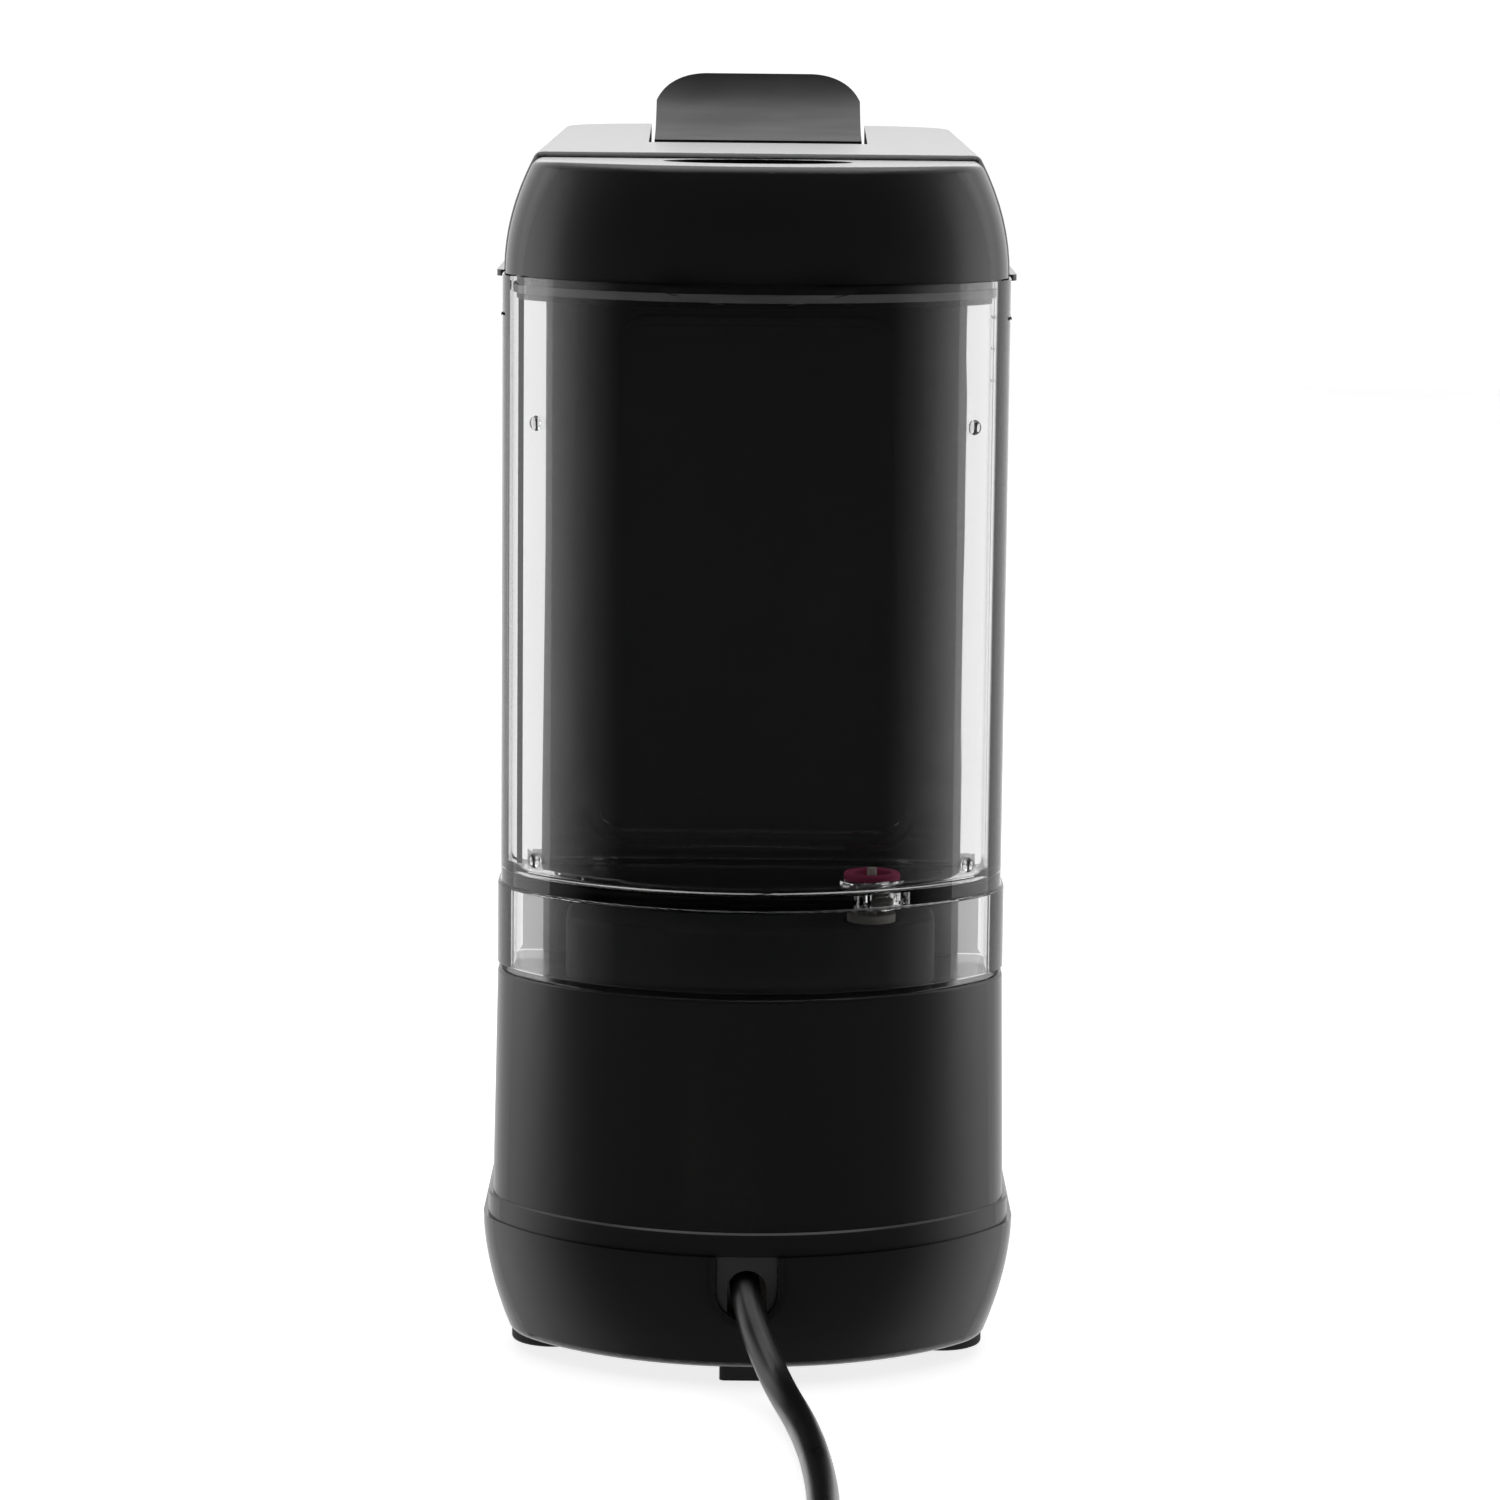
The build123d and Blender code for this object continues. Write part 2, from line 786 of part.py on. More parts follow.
# ------------------------------------------------------------------ head: plate, rim and cover
rim_thickness = 1.6
rim_width = 5.0
plate_step = 1.6
head_setback = 0.5
head_round = 2.4
head_front = pan_front + head_setback
head_ends = (straight_end(3.0), front_end)
notch_floor_drop = 13.2  # lever notch floor, below the head's top
lever_notch_half = 29.2  # at its rear end
lever_notch_flare = 2.6  # how much wider each half is at the machine's front
lever_notch_depth = 134.0
pod_setback = 70.0  # capsule axis, from the machine's front
pod_y = pan_front + rear_proud + pod_setback
pod_x = 0.0
pod = (pod_x, pod_y)
chamber_outer = 34.0
holder_clearance = 0.6  # between the capsule holder's flange and the lever notch's sides
holder_flange_radius = lever_notch_half - holder_clearance
notch_floor_z = overall_height - notch_floor_drop
notch_rear = y_at(lever_notch_depth)
dock = (0.0, pod_y + 48.0)  # where the lever's water duct meets the head
dock_radius = 4.0
dock_bore = 1.5

with BuildPart() as head_plate:
    low = column_top
    high = head_z - rim_thickness
    half = head_half - plate_step
    add(prism(half, column_rear - 1, head_front + plate_step, *head_ends, low, high))
    shaft = column_half - 2 * shaft_margin
    shaft_span = (column_front + shaft_margin / 2, column_rear - 2 * shaft_margin)
    add(block((-shaft, shaft), shaft_span, (low, high)), mode=Mode.SUBTRACT)
    add(tube(pod, low, high, chamber_outer + fit), mode=Mode.SUBTRACT)
save(head_plate, "head_plate")

with BuildPart() as head_rim:
    low = head_z - rim_thickness
    add(prism(rim_half, column_rear, pan_front, *head_ends, low, head_z))
    inset = rim_width
    add(
        prism(rim_half - inset, column_rear - inset, pan_front + inset, *head_ends, low, head_z),
        mode=Mode.SUBTRACT,
    )
save(head_rim, "head_rim")


def lever_notch(grow, floor_z, top_z):
    """Notch in the head's top, open to the front and flaring a little towards it."""
    rear_half = lever_notch_half + grow
    front_half = rear_half + lever_notch_flare
    with BuildPart() as solid:
        with BuildSketch(Plane.XY.offset(floor_z)):
            with BuildLine():
                Polyline(
                    (-rear_half, notch_rear + grow),
                    (rear_half, notch_rear + grow),
                    (front_half, pan_front - grow),
                    (-front_half, pan_front - grow),
                    close=True,
                )
            make_face()
        extrude(amount=top_z - floor_z)
    return solid.part


with BuildPart() as head_cover:
    add(crowned(head_half, column_rear, head_front, *head_ends, head_z, overall_height, head_inset))
    fillet(head_cover.faces().sort_by(Axis.Z)[-1].edges(), head_round)
    add(lever_notch(0, notch_floor_z, overall_height + 1), mode=Mode.SUBTRACT)
    with BuildPart(mode=Mode.PRIVATE) as head_cavity:
        add(
            crowned(
                head_half - wall,
                column_rear - wall,
                head_front + wall,
                *head_ends,
                head_z,
                overall_height - wall,
                head_inset,
            )
        )
        add(lever_notch(wall, notch_floor_z - wall, overall_height), mode=Mode.SUBTRACT)
    add(head_cavity.part, mode=Mode.SUBTRACT)
    add(tube(pod, notch_floor_z - wall, notch_floor_z, holder_flange_radius + 1.2), mode=Mode.SUBTRACT)
    add(tube(dock, notch_floor_z - wall, notch_floor_z, dock_bore), mode=Mode.SUBTRACT)

# ------------------------------------------------------------------ lever and what it carries
lever_gap = 1.2
knuckle_radius = 6.0
side_gap = 1.5  # between each side of the lever and the notch
lever_half = lever_notch_half - side_gap
grip_setback = 24.5  # the grip's top edge, behind the machine's front
grip_height = 15.3  # above the head's top
grip_corner_width = 15.3
grip_corner_height = 10.5
grip_thickness = 5.0
lip_back = 1.0  # the top face's rear edge, behind the hinge
lip_height = 0.5  # of that edge above the head's top
lever_wall = 2.4
hinge_pin_radius = 2.0
pin_overhang = 1.8
hinge_y = notch_rear - lever_gap - knuckle_radius
hinge_z = overall_height - knuckle_radius
lever_bottom = hinge_z - knuckle_radius
lever_front = head_front + 4.0
grip_y = pan_front + grip_setback
grip_top = overall_height + grip_height

with BuildPart() as lever_pin:
    reach = lever_notch_half + pin_overhang
    with BuildSketch(Plane.YZ.offset(-reach)):
        with Locations((hinge_y, hinge_z)):
            Circle(hinge_pin_radius)
    extrude(amount=2 * reach)
save(lever_pin, "lever_pin")

with BuildPart() as head_cover_bored:
    add(head_cover.part)
    add(lever_pin.part, mode=Mode.SUBTRACT)
save(head_cover_bored, "head_cover")

# the top face sweeps up from the hinge to the grip through two places: (y, z)
mid_place = (grip_y + 69.5, overall_height + 1.8)
rise_place = (grip_y + 29.5, overall_height + 5.5)
grip_half = lever_half + lever_notch_flare

with BuildPart() as brew_lever:
    with BuildSketch(Plane.YZ.offset(-grip_half)):
        with BuildLine():
            back = (hinge_y + knuckle_radius, hinge_z)
            lip_foot = (hinge_y + lip_back, hinge_z + math.sqrt(knuckle_radius**2 - lip_back**2))
            lip_top = (hinge_y + lip_back, overall_height + lip_height)
            tip_rear = (grip_y, grip_top)
            tip_front = (grip_y - grip_thickness, grip_top - 0.8)
            toe = (lever_front, lever_bottom + 9)
            ThreePointArc((hinge_y, lever_bottom), back, lip_foot)
            Line(lip_foot, lip_top)
            Spline(lip_top, mid_place, rise_place, tip_rear, tangents=[(-1, 0), (-0.7, 1)])
            Line(tip_rear, tip_front)
            ThreePointArc(tip_front, (lever_front + 5.5, overall_height + 6), toe)
            Line(toe, (lever_front, lever_bottom))
            Line((lever_front, lever_bottom), (hinge_y, lever_bottom))
        make_face()
    extrude(amount=2 * grip_half)
    with BuildSketch(Plane.XZ.offset(-notch_rear - 20)):
        shoulder = grip_top - grip_corner_height
        flat = grip_half - grip_corner_width
        with Locations((0, (shoulder + lever_bottom - 1) / 2)):
            Rectangle(2 * grip_half, shoulder - lever_bottom + 1)
        with Locations((0, (shoulder + grip_top) / 2)):
            Rectangle(2 * flat, grip_corner_height)
        with Locations((-flat, shoulder), (flat, shoulder)):
            Ellipse(grip_corner_width, grip_corner_height)
    extrude(amount=overall_depth, mode=Mode.INTERSECT)
    with BuildSketch(Plane.XY.offset(lever_bottom - 1)):
        with BuildLine():
            Polyline(
                (-lever_half, notch_rear),
                (lever_half, notch_rear),
                (grip_half, pan_front),
                (-grip_half, pan_front),
                close=True,
            )
        make_face()
    extrude(amount=grip_top - lever_bottom + 2, mode=Mode.INTERSECT)
    with BuildSketch(Plane.YZ.offset(-lever_half + lever_wall)):
        with BuildLine():
            pocket_rear = hinge_y - knuckle_radius - lever_wall
            Polyline(
                (pocket_rear, lever_bottom),
                (pocket_rear, overall_height - lever_wall),
                (mid_place[0], mid_place[1] - lever_wall),
                (rise_place[0], rise_place[1] - lever_wall),
                (grip_y - 1, overall_height + 5.6),
                (lever_front + 8, overall_height + 2.1),
                (lever_front + lever_wall + 1, lever_bottom + 6),
                (lever_front + lever_wall + 1, lever_bottom),
                close=True,
            )
        make_face()
    extrude(amount=2 * (lever_half - lever_wall), mode=Mode.SUBTRACT)
    with BuildSketch(Plane.YZ.offset(-grip_half)):
        with Locations((hinge_y, hinge_z)):
            Circle(hinge_pin_radius + running_fit)
    extrude(amount=2 * grip_half, mode=Mode.SUBTRACT)
save(brew_lever, "brew_lever")

plate_gap = 0.2
under_z = lever_bottom + 1.6
pierce_radius = 22.5
gasket_radius = 21.5
holder_top = notch_floor_z - 5.5
entry_needle_radius = 1.6
entry_needle_length = 10.0

with BuildPart() as lever_underplate:
    half = lever_half - lever_wall - plate_gap
    add(
        block(
            (-half, half),
            (lever_front + lever_wall + 1 + plate_gap, pocket_rear - plate_gap),
            (lever_bottom, under_z),
        )
    )
save(lever_underplate, "lever_underplate")

block_low = holder_top + 1.2

with BuildPart() as piercing_block:
    add(tube(pod, block_low, lever_bottom, pierce_radius))
    fillet(piercing_block.faces().sort_by(Axis.Z)[0].edges(), 0.6)
    add(tube(pod, block_low, lever_bottom, entry_needle_radius), mode=Mode.SUBTRACT)
save(piercing_block, "piercing_block")

with BuildPart() as pod_gasket:
    add(tube(pod, block_low - 1.4, block_low, gasket_radius, gasket_radius - 5))
save(pod_gasket, "pod_gasket")

needle_low = block_low - entry_needle_length

with BuildPart() as entry_needle:
    add(tube(pod, needle_low + 3, lever_bottom, entry_needle_radius, 0.6))
    with BuildSketch(Plane(origin=(pod_x, pod_y, needle_low + 3), z_dir=(0, 0, -1))):
        Circle(entry_needle_radius)
    extrude(amount=3, taper=22)
save(entry_needle, "entry_needle")

# ------------------------------------------------------------------ capsule holder and chamber
holder_depth = 46.0
holder_outer = holder_flange_radius - 2.0
holder_inner = holder_outer - 1.6
holder_taper = 2.2
flange_thickness = 3.0
nozzle_radius = 6.0
nozzle_bore = 2.5
nozzle_length = 9.0
exit_needle_height = 9.0
chamber_fit = 0.6
chamber_wall_radius = holder_outer + 0.6
chamber_floor = 2.0
holder_floor_z = holder_top - holder_depth
chamber_low = holder_floor_z - 6.0

with BuildPart() as pod_holder:
    with BuildSketch(Plane.XZ.offset(-pod_y)):
        with BuildLine():
            Polyline(
                (nozzle_bore, holder_floor_z - nozzle_length),
                (nozzle_radius, holder_floor_z - nozzle_length),
                (nozzle_radius, holder_floor_z),
                (holder_outer - holder_taper, holder_floor_z),
                (holder_outer, holder_top - flange_thickness),
                (holder_flange_radius, holder_top - flange_thickness),
                (holder_flange_radius, holder_top),
                (holder_inner, holder_top),
                (holder_inner - holder_taper, holder_floor_z + 2),
                (nozzle_bore, holder_floor_z + 2),
                close=True,
            )
        make_face()
    revolve(axis=Axis((pod_x, pod_y, 0), (0, 0, 1)))
save(pod_holder, "pod_holder")

with BuildPart() as exit_needle:
    needle_top = holder_floor_z + 2 + exit_needle_height
    add(tube(pod, holder_floor_z - 4, needle_top - 3, nozzle_bore, 1.2))
    with BuildSketch(Plane.XY.offset(needle_top - 3)):
        with Locations(pod):
            Circle(nozzle_bore)
    extrude(amount=3, taper=30)
save(exit_needle, "exit_needle")

chamber_top = notch_floor_z - wall
seat_z = holder_top - flange_thickness - fit

with BuildPart() as brew_chamber:
    add(tube(pod, chamber_low, chamber_top, chamber_outer))
    add(tube(pod, seat_z, chamber_top, holder_flange_radius + chamber_fit), mode=Mode.SUBTRACT)
    add(tube(pod, chamber_low + chamber_floor, seat_z, chamber_wall_radius), mode=Mode.SUBTRACT)
    add(tube(pod, chamber_low, chamber_low + chamber_floor, nozzle_radius + 3), mode=Mode.SUBTRACT)
save(brew_chamber, "brew_chamber")

# ------------------------------------------------------------------ brew head shell, spout and controls
brew_head_height = 68.6
brew_head_low = column_top - brew_head_height
brew_head_rear = column_front - 0.2
brew_head_front = pan_front + brew_head_setback
brew_head_ends = (straight_end(2.0), (110.0, 30.0))
spout_radius = 17.0
spout_tip_radius = 13.0
spout_drop = 11.0
outlet_radius = 4.0
panel_half = 12.0
panel_height = 60.0
panel_low = brew_head_low + 6
panel_depth = 2.4
button_radius = 6.4
button_gap = 0.3
button_proud = 1.2
button_travel = 1.0
button_pitch = 16.0
lens_radius = 2.0
panel_face_y = brew_head_front + 0.9
button_levels = [panel_low + 11 + button_pitch * step for step in range(3)]
lens_level = panel_low + panel_height - 7


def panel_hole(radius, level):
    """Round hole through the control panel at one level."""
    with BuildPart() as solid:
        with BuildSketch(Plane.XZ.offset(-panel_face_y - 10)):
            with Locations((0, level)):
                Circle(radius)
        extrude(amount=20)
    return solid.part


with BuildPart() as brew_head_shell:
    half = brew_head_half
    spans = (brew_head_low, column_top)
    add(prism(half, brew_head_rear, brew_head_front, *brew_head_ends, *spans))
    fillet(brew_head_shell.faces().sort_by(Axis.Z)[0].edges().sort_by(Axis.Y)[:-1], 2.0)
    inner = (half - wall, brew_head_rear - wall, brew_head_front + wall + 1)
    add(prism(*inner, *brew_head_ends, brew_head_low + wall, column_top), mode=Mode.SUBTRACT)
    add(tube(pod, brew_head_low, brew_head_low + wall, spout_radius), mode=Mode.SUBTRACT)
    window = (panel_low, panel_low + panel_height)
    add(
        block((-panel_half, panel_half), (brew_head_front - 1, brew_head_front + 8), window),
        mode=Mode.SUBTRACT,
    )
save(brew_head_shell, "brew_head_shell")

with BuildPart() as control_panel:
    half = panel_half - 0.1
    add(
        block(
            (-half, half),
            (panel_face_y, panel_face_y + panel_depth),
            (panel_low + 0.1, panel_low + panel_height - 0.1),
        )
    )
    for level in button_levels:
        add(panel_hole(button_radius + button_gap, level), mode=Mode.SUBTRACT)
    add(panel_hole(lens_radius, lens_level), mode=Mode.SUBTRACT)
save(control_panel, "control_panel")

button_names = ("small_cup_button", "medium_cup_button", "large_cup_button")
for name, level in zip(button_names, button_levels):
    with BuildPart() as button:
        with BuildSketch(Plane.XZ.offset(-panel_face_y + button_proud)):
            with Locations((0, level)):
                Circle(button_radius)
        extrude(amount=-(button_proud + 4.0))
        fillet(button.faces().sort_by(Axis.Y)[0].edges(), 0.5)
    save(button, name)

with BuildPart() as indicator_lens:
    with BuildSketch(Plane.XZ.offset(-panel_face_y)):
        with Locations((0, lens_level)):
            Circle(lens_radius)
    extrude(amount=-5.0)
save(indicator_lens, "indicator_lens")

board_y = panel_face_y + 4.0 + button_travel + 2.6

with BuildPart() as switch_board:
    low_z = panel_low + 2
    high_z = panel_low + panel_height - 2
    add(block((-panel_half + 1, panel_half - 1), (board_y, board_y + 1.6), (low_z, high_z)))
    for level in button_levels:
        add(block((-3, 3), (board_y - 1.4, board_y), (level - 3, level + 3)))
    for z in (low_z + 0.5, high_z - 2.5):
        add(block((-3, 3), (panel_face_y + panel_depth, board_y), (z, z + 2)))
save(switch_board, "switch_board")

spout_top = chamber_low - 1.0

with BuildPart() as brew_spout:
    with BuildSketch(Plane.XZ.offset(-pod_y)):
        with BuildLine():
            low = brew_head_low - spout_drop
            Polyline(
                (outlet_radius, low),
                (spout_tip_radius, low),
                (spout_radius, brew_head_low),
                (spout_radius, brew_head_low + wall + 6),
                (spout_radius + 4, spout_top),
                (spout_radius + 2, spout_top),
                (outlet_radius, brew_head_low + wall),
                close=True,
            )
        make_face()
    revolve(axis=Axis((pod_x, pod_y, 0), (0, 0, 1)))
save(brew_spout, "brew_spout")

# ------------------------------------------------------------------ pump, heater and electrics
chassis_y = split_y
chassis_thickness = 3.0
chassis_half = column_half - wall - 2.0
chassis_top = column_top - 12.0
pump_radius = 14.0
pump_x = -22.0
pump_rise = 28.5  # above the lower housing
pump_low = housing_top + pump_rise
pump_length = 70.0
coil_half = 18.0
coil_rise = 12.0  # above the pump's lower end
coil_height = 36.0
coil_low = pump_low + coil_rise
coil_high = coil_low + coil_height
mount_thickness = 4.0
heater_radius = 19.0
heater_port = 9.0  # offset of its two water ports from its axis
heater_x = 12.0
heater_rise = 32.5  # above the lower housing
heater_length = 96.0
heater_low = housing_top + heater_rise
fitting_radius = 4.0
hose_radius = 4.0
pump_y = chassis_y + chassis_thickness + mount_thickness + coil_half
pump = (pump_x, pump_y)
heater_y = chassis_y - 2.0 - heater_radius
heater = (heater_x, heater_y)
pump_top = pump_low + pump_length
heater_top = heater_low + heater_length

with BuildPart() as chassis:
    add(
        block(
            (-chassis_half, chassis_half),
            (chassis_y, chassis_y + chassis_thickness),
            (housing_top, chassis_top),
        )
    )
    add(
        block(
            (-chassis_half, chassis_half),
            (chassis_y, chassis_y + 14),
            (housing_top, housing_top + chassis_thickness),
        )
    )
    for z in (heater_low + 10, heater_top - 14):
        add(block((heater_x - 8, heater_x + 8), (chassis_y - 4, chassis_y), (z, z + 4)))
    add(tube(heater, heater_low, heater_top, heater_radius), mode=Mode.SUBTRACT)
    for x, y in post_places:
        add(tube((x, y), housing_top, housing_top + 4, post_radius + 1), mode=Mode.SUBTRACT)
save(chassis, "chassis")

with BuildPart() as pump_mounts:
    for z in (coil_low + 4, coil_high - 12):
        add(
            block(
                (pump_x - 8, pump_x + 8),
                (chassis_y + chassis_thickness, pump_y - coil_half),
                (z, z + 8),
            )
        )
save(pump_mounts, "pump_mounts")

with BuildPart() as pump_coil:
    add(
        block(
            (pump_x - coil_half, pump_x + coil_half),
            (pump_y - coil_half, pump_y + coil_half),
            (coil_low, coil_high),
        )
    )
    fillet(pump_coil.edges().filter_by(Axis.Z), 3.0)
    add(tube(pump, coil_low, coil_high, pump_radius), mode=Mode.SUBTRACT)
save(pump_coil, "pump_coil")

with BuildPart() as water_pump:
    add(tube(pump, pump_low, pump_top, pump_radius))
    for low, high in ((pump_low - 10, pump_low), (pump_top, pump_top + 10)):
        add(tube(pump, low, high, fitting_radius, 1.5))
save(water_pump, "water_pump")

heater_in = (heater_x, heater_y + heater_port)
heater_out = (heater_x, heater_y - heater_port)
with BuildPart() as heater_block:
    add(tube(heater, heater_low, heater_top, heater_radius))
    for place in (heater_in, heater_out):
        add(tube(place, heater_top, heater_top + 10, fitting_radius, 1.5))
save(heater_block, "heater_block")

thermostat_radius = 5.5
thermostat_offset = 12.5
with BuildPart() as thermostats:
    for hand in (1, -1):
        spot = (heater_x + hand * thermostat_offset, heater_y)
        add(tube(spot, heater_top, heater_top + 6, thermostat_radius))
save(thermostats, "thermostats")

board_standoff = 6.0
board_thickness = 1.6
board_rise = 24.5  # above the lower housing
board_height = 102.0
board_side_gap = 12.6  # between the board's side and the column's inner face
stand_half = 3.0
stand_inset = 6.0
control_board_y = column_front + wall + board_standoff
board_low = housing_top + board_rise
board_half = column_half - wall - board_side_gap
with BuildPart() as control_board:
    board_span = (board_low, board_low + board_height)
    add(block((-board_half, board_half), (control_board_y, control_board_y + board_thickness), board_span))
    for x in (stand_inset - board_half, board_half - stand_inset):
        for z in (board_low + 4, board_low + board_height - 8):
            span = (x - stand_half, x + stand_half)
            add(block(span, (column_front + wall, control_board_y), (z, z + 2 * stand_half)))
save(control_board, "control_board")

part_side = 4.0 - board_half  # outer edge of the parts along the board's -X side
with BuildPart() as board_parts:
    face = control_board_y + board_thickness
    for width, depth, rise, height in ((16.0, 15.0, 66.0, 22.0), (14.0, 12.0, 26.0, 26.0)):
        low = board_low + rise
        add(block((part_side, part_side + width), (face, face + depth), (low, low + height)))
    with BuildSketch(Plane.XZ.offset(-face)):
        with Locations((part_side + 6, board_low + 14)):
            Circle(6)
    extrude(amount=-14)
save(board_parts, "board_parts")


# ------------------------------------------------------------------ hoses
def run_lengths(points):
    """Length of each straight run between a route's points."""
    return [(Vector(*b) - Vector(*a)).length for a, b in zip(points, points[1:])]


def corner_radii(points):
    """Radius of the arc at each corner of a route, as large as its two runs allow."""
    lengths = run_lengths(points)
    radii = []
    for index in range(1, len(points) - 1):
        before = Vector(*points[index]) - Vector(*points[index - 1])
        after = Vector(*points[index + 1]) - Vector(*points[index])
        turn = math.radians(before.get_angle(after))
        radii.append(0.45 * min(lengths[index - 1 : index + 1]) / math.tan(turn / 2))
    return radii


def route_tube(points, outer, inner=0.0):
    """Round tube or rod along a route of straight runs joined by tangent arcs."""
    with BuildPart() as solid:
        with BuildLine() as line:
            FilletPolyline(*points, radius=corner_radii(points))
        with BuildSketch(Plane(origin=line.line @ 0, z_dir=line.line % 0)):
            Circle(outer)
            if inner:
                Circle(inner, mode=Mode.SUBTRACT)
        sweep(path=line.line)
    return solid.part


hose_wall = 1.5
hose_bore = hose_radius - hose_wall
inlet_points = [
    (inlet[0], inlet[1], socket_low),
    (inlet[0], inlet[1], socket_low - 26),
    (inlet[0] + 3, inlet[1] - 28, socket_low - 34),
    (pump[0], pump[1], socket_low - 26),
    (pump[0], pump[1], pump_low - 10),
]
with BuildPart() as inlet_hose:
    add(route_tube(inlet_points, hose_radius, hose_bore))
save(inlet_hose, "inlet_hose")

pressure_points = [
    (pump[0], pump[1], pump_top + 10),
    (pump[0], pump[1], pump_top + 34),
    (pump[0] + 14, pump[1] - 17, chassis_top + 6.5),
    (*heater_in, chassis_top + 5),
    (*heater_in, heater_top + 10),
]
with BuildPart() as pressure_hose:
    add(route_tube(pressure_points, hose_radius - 1, hose_bore - 1))
save(pressure_hose, "pressure_hose")

brew_points = [
    (*heater_out, heater_top + 10),
    (*heater_out, head_z - 8),
    (heater_out[0] - 5, heater_out[1] - 16, head_z + 5),
    (*dock, head_z + 3.5),
    (*dock, notch_floor_z - wall),
]
with BuildPart() as brew_hose:
    add(route_tube(brew_points, hose_radius - 1, hose_bore - 1))
save(brew_hose, "brew_hose")

with BuildPart() as dock_seal:
    add(tube(dock, notch_floor_z, lever_bottom - fit, dock_radius + 1.5, hose_bore - 1))
save(dock_seal, "dock_seal")

# ------------------------------------------------------------------ mains cord, clamp and plug
floor_z = cord_radius
cord_points = [
    (0.9, tank_rear - 12.0, 31.0),
    (0.8, tank_rear - 2.0, 26.9),
    (-0.9, tank_rear + 6.0, 20.9),
    (-4.3, tank_rear + 14.0, 13.6),
    (-8.6, tank_rear + 24.0, 6.9),
    (-13.6, tank_rear + 42.0, floor_z),
    (-16.9, tank_rear + 74.0, floor_z + 0.1),
    (-18.3, tank_rear + 108.0, floor_z),
    (-17.6, tank_rear + 150.0, floor_z + 0.1),
    (-18.0, tank_rear + 194.0, floor_z),
]
inner_turn_radius = 38.6
turn_step = 2 * cord_radius + 0.1  # from one turn of the coil to the next
coil_radius = inner_turn_radius + turn_step / 2
coil_width = turn_step + 2 * cord_radius + 0.2
bundle_height = 2 * 2 * cord_radius
coil_centre = (cord_points[-1][0] + inner_turn_radius, cord_points[-1][1])
top_turn_z = 3 * cord_radius

with BuildPart() as power_cord:
    add(route_tube(cord_points, cord_radius))
save(power_cord, "power_cord")

with BuildPart() as cord_coil:
    with BuildSketch(Plane(origin=(*coil_centre, 0), x_dir=(1, 0, 0), z_dir=(0, -1, 0))):
        with Locations((coil_radius, bundle_height / 2)):
            RectangleRounded(coil_width, bundle_height, cord_radius)
    revolve(axis=Axis((*coil_centre, 0), (0, 0, 1)))
save(cord_coil, "cord_coil")

tie_wall = 0.8
tie_half = 2.5
tie_x = coil_centre[0] + coil_radius
with BuildPart() as cord_tie:
    inner = coil_width / 2
    outer = inner + tie_wall
    y_span = (coil_centre[1] - tie_half, coil_centre[1] + tie_half)
    add(block((tie_x - outer, tie_x + outer), y_span, (0, bundle_height + tie_wall)))
    fillet(cord_tie.edges().filter_by(Axis.Y).group_by(Axis.Z)[-1], 3.0)
    add(cord_coil.part, mode=Mode.SUBTRACT)
    add(block((tie_x - inner, tie_x + inner), y_span, (0, 4)), mode=Mode.SUBTRACT)
save(cord_tie, "cord_tie")

clamp_start = Vector(*cord_points[0])
clamp_aim = (Vector(*cord_points[1]) - clamp_start).normalized()
clamp_half = 9.0
clamp_length = 9.0
clamp_cap = 4.0  # clamp material above the cord
with BuildPart() as cord_clamp:
    centre_y = clamp_start.Y
    add(
        block(
            (-clamp_half, clamp_half),
            (centre_y - clamp_length / 2, centre_y + clamp_length / 2 - 1.5),
            (pan_inner_z, clamp_start.Z + cord_radius + clamp_cap),
        )
    )
    with BuildSketch(Plane(origin=clamp_start - 20 * clamp_aim, z_dir=clamp_aim)):
        Circle(cord_radius + 0.05)
    extrude(amount=40, mode=Mode.SUBTRACT)
save(cord_clamp, "cord_clamp")

plug_lead = 24.0  # the strain relief starts this far along from the coil's centre
relief_length = 26.0
relief_radius = 6.0
plug_length = 26.0
plug_width = 25.0
plug_height = 2 * top_turn_z
blade_length = 17.0
blade_width = 6.3
blade_thickness = 1.5
blade_spread = 6.35
ground_radius = 2.4
ground_length = 20.0
ground_offset = 5.6
plug_y = coil_centre[1] + inner_turn_radius + turn_step
plug_x = coil_centre[0] + plug_lead
body_x = plug_x + relief_length
face_x = body_x + plug_length


def along_x(x, y, z):
    """Work plane facing +X with its first axis along +Y."""
    return Plane(origin=(x, y, z), x_dir=(0, 1, 0), z_dir=(1, 0, 0))


with BuildPart() as plug_body:
    with BuildSketch(along_x(plug_x, plug_y, top_turn_z)):
        Circle(cord_radius + 0.8)
    with BuildSketch(along_x(body_x, plug_y, top_turn_z)):
        Circle(relief_radius)
    loft()
    with BuildPart(mode=Mode.PRIVATE) as plug_grip:
        with BuildSketch(along_x(body_x, plug_y, top_turn_z)):
            RectangleRounded(plug_width, plug_height, 7.0)
        extrude(amount=plug_length)
        fillet(plug_grip.faces().sort_by(Axis.X)[0].edges(), 4.0)
        fillet(plug_grip.faces().sort_by(Axis.X)[-1].edges(), 1.0)
    add(plug_grip.part)
save(plug_body, "plug_body")

with BuildPart() as plug_pins:
    for hand in (1, -1):
        with BuildSketch(along_x(face_x, plug_y + hand * blade_spread, top_turn_z + ground_offset - 3)):
            Rectangle(blade_thickness, blade_width)
        extrude(amount=blade_length)
    with BuildSketch(along_x(face_x, plug_y, top_turn_z - ground_offset)):
        Circle(ground_radius)
    extrude(amount=ground_length)
    fillet(plug_pins.faces().sort_by(Axis.X)[-1].edges(), 1.2)
save(plug_pins, "plug_pins")
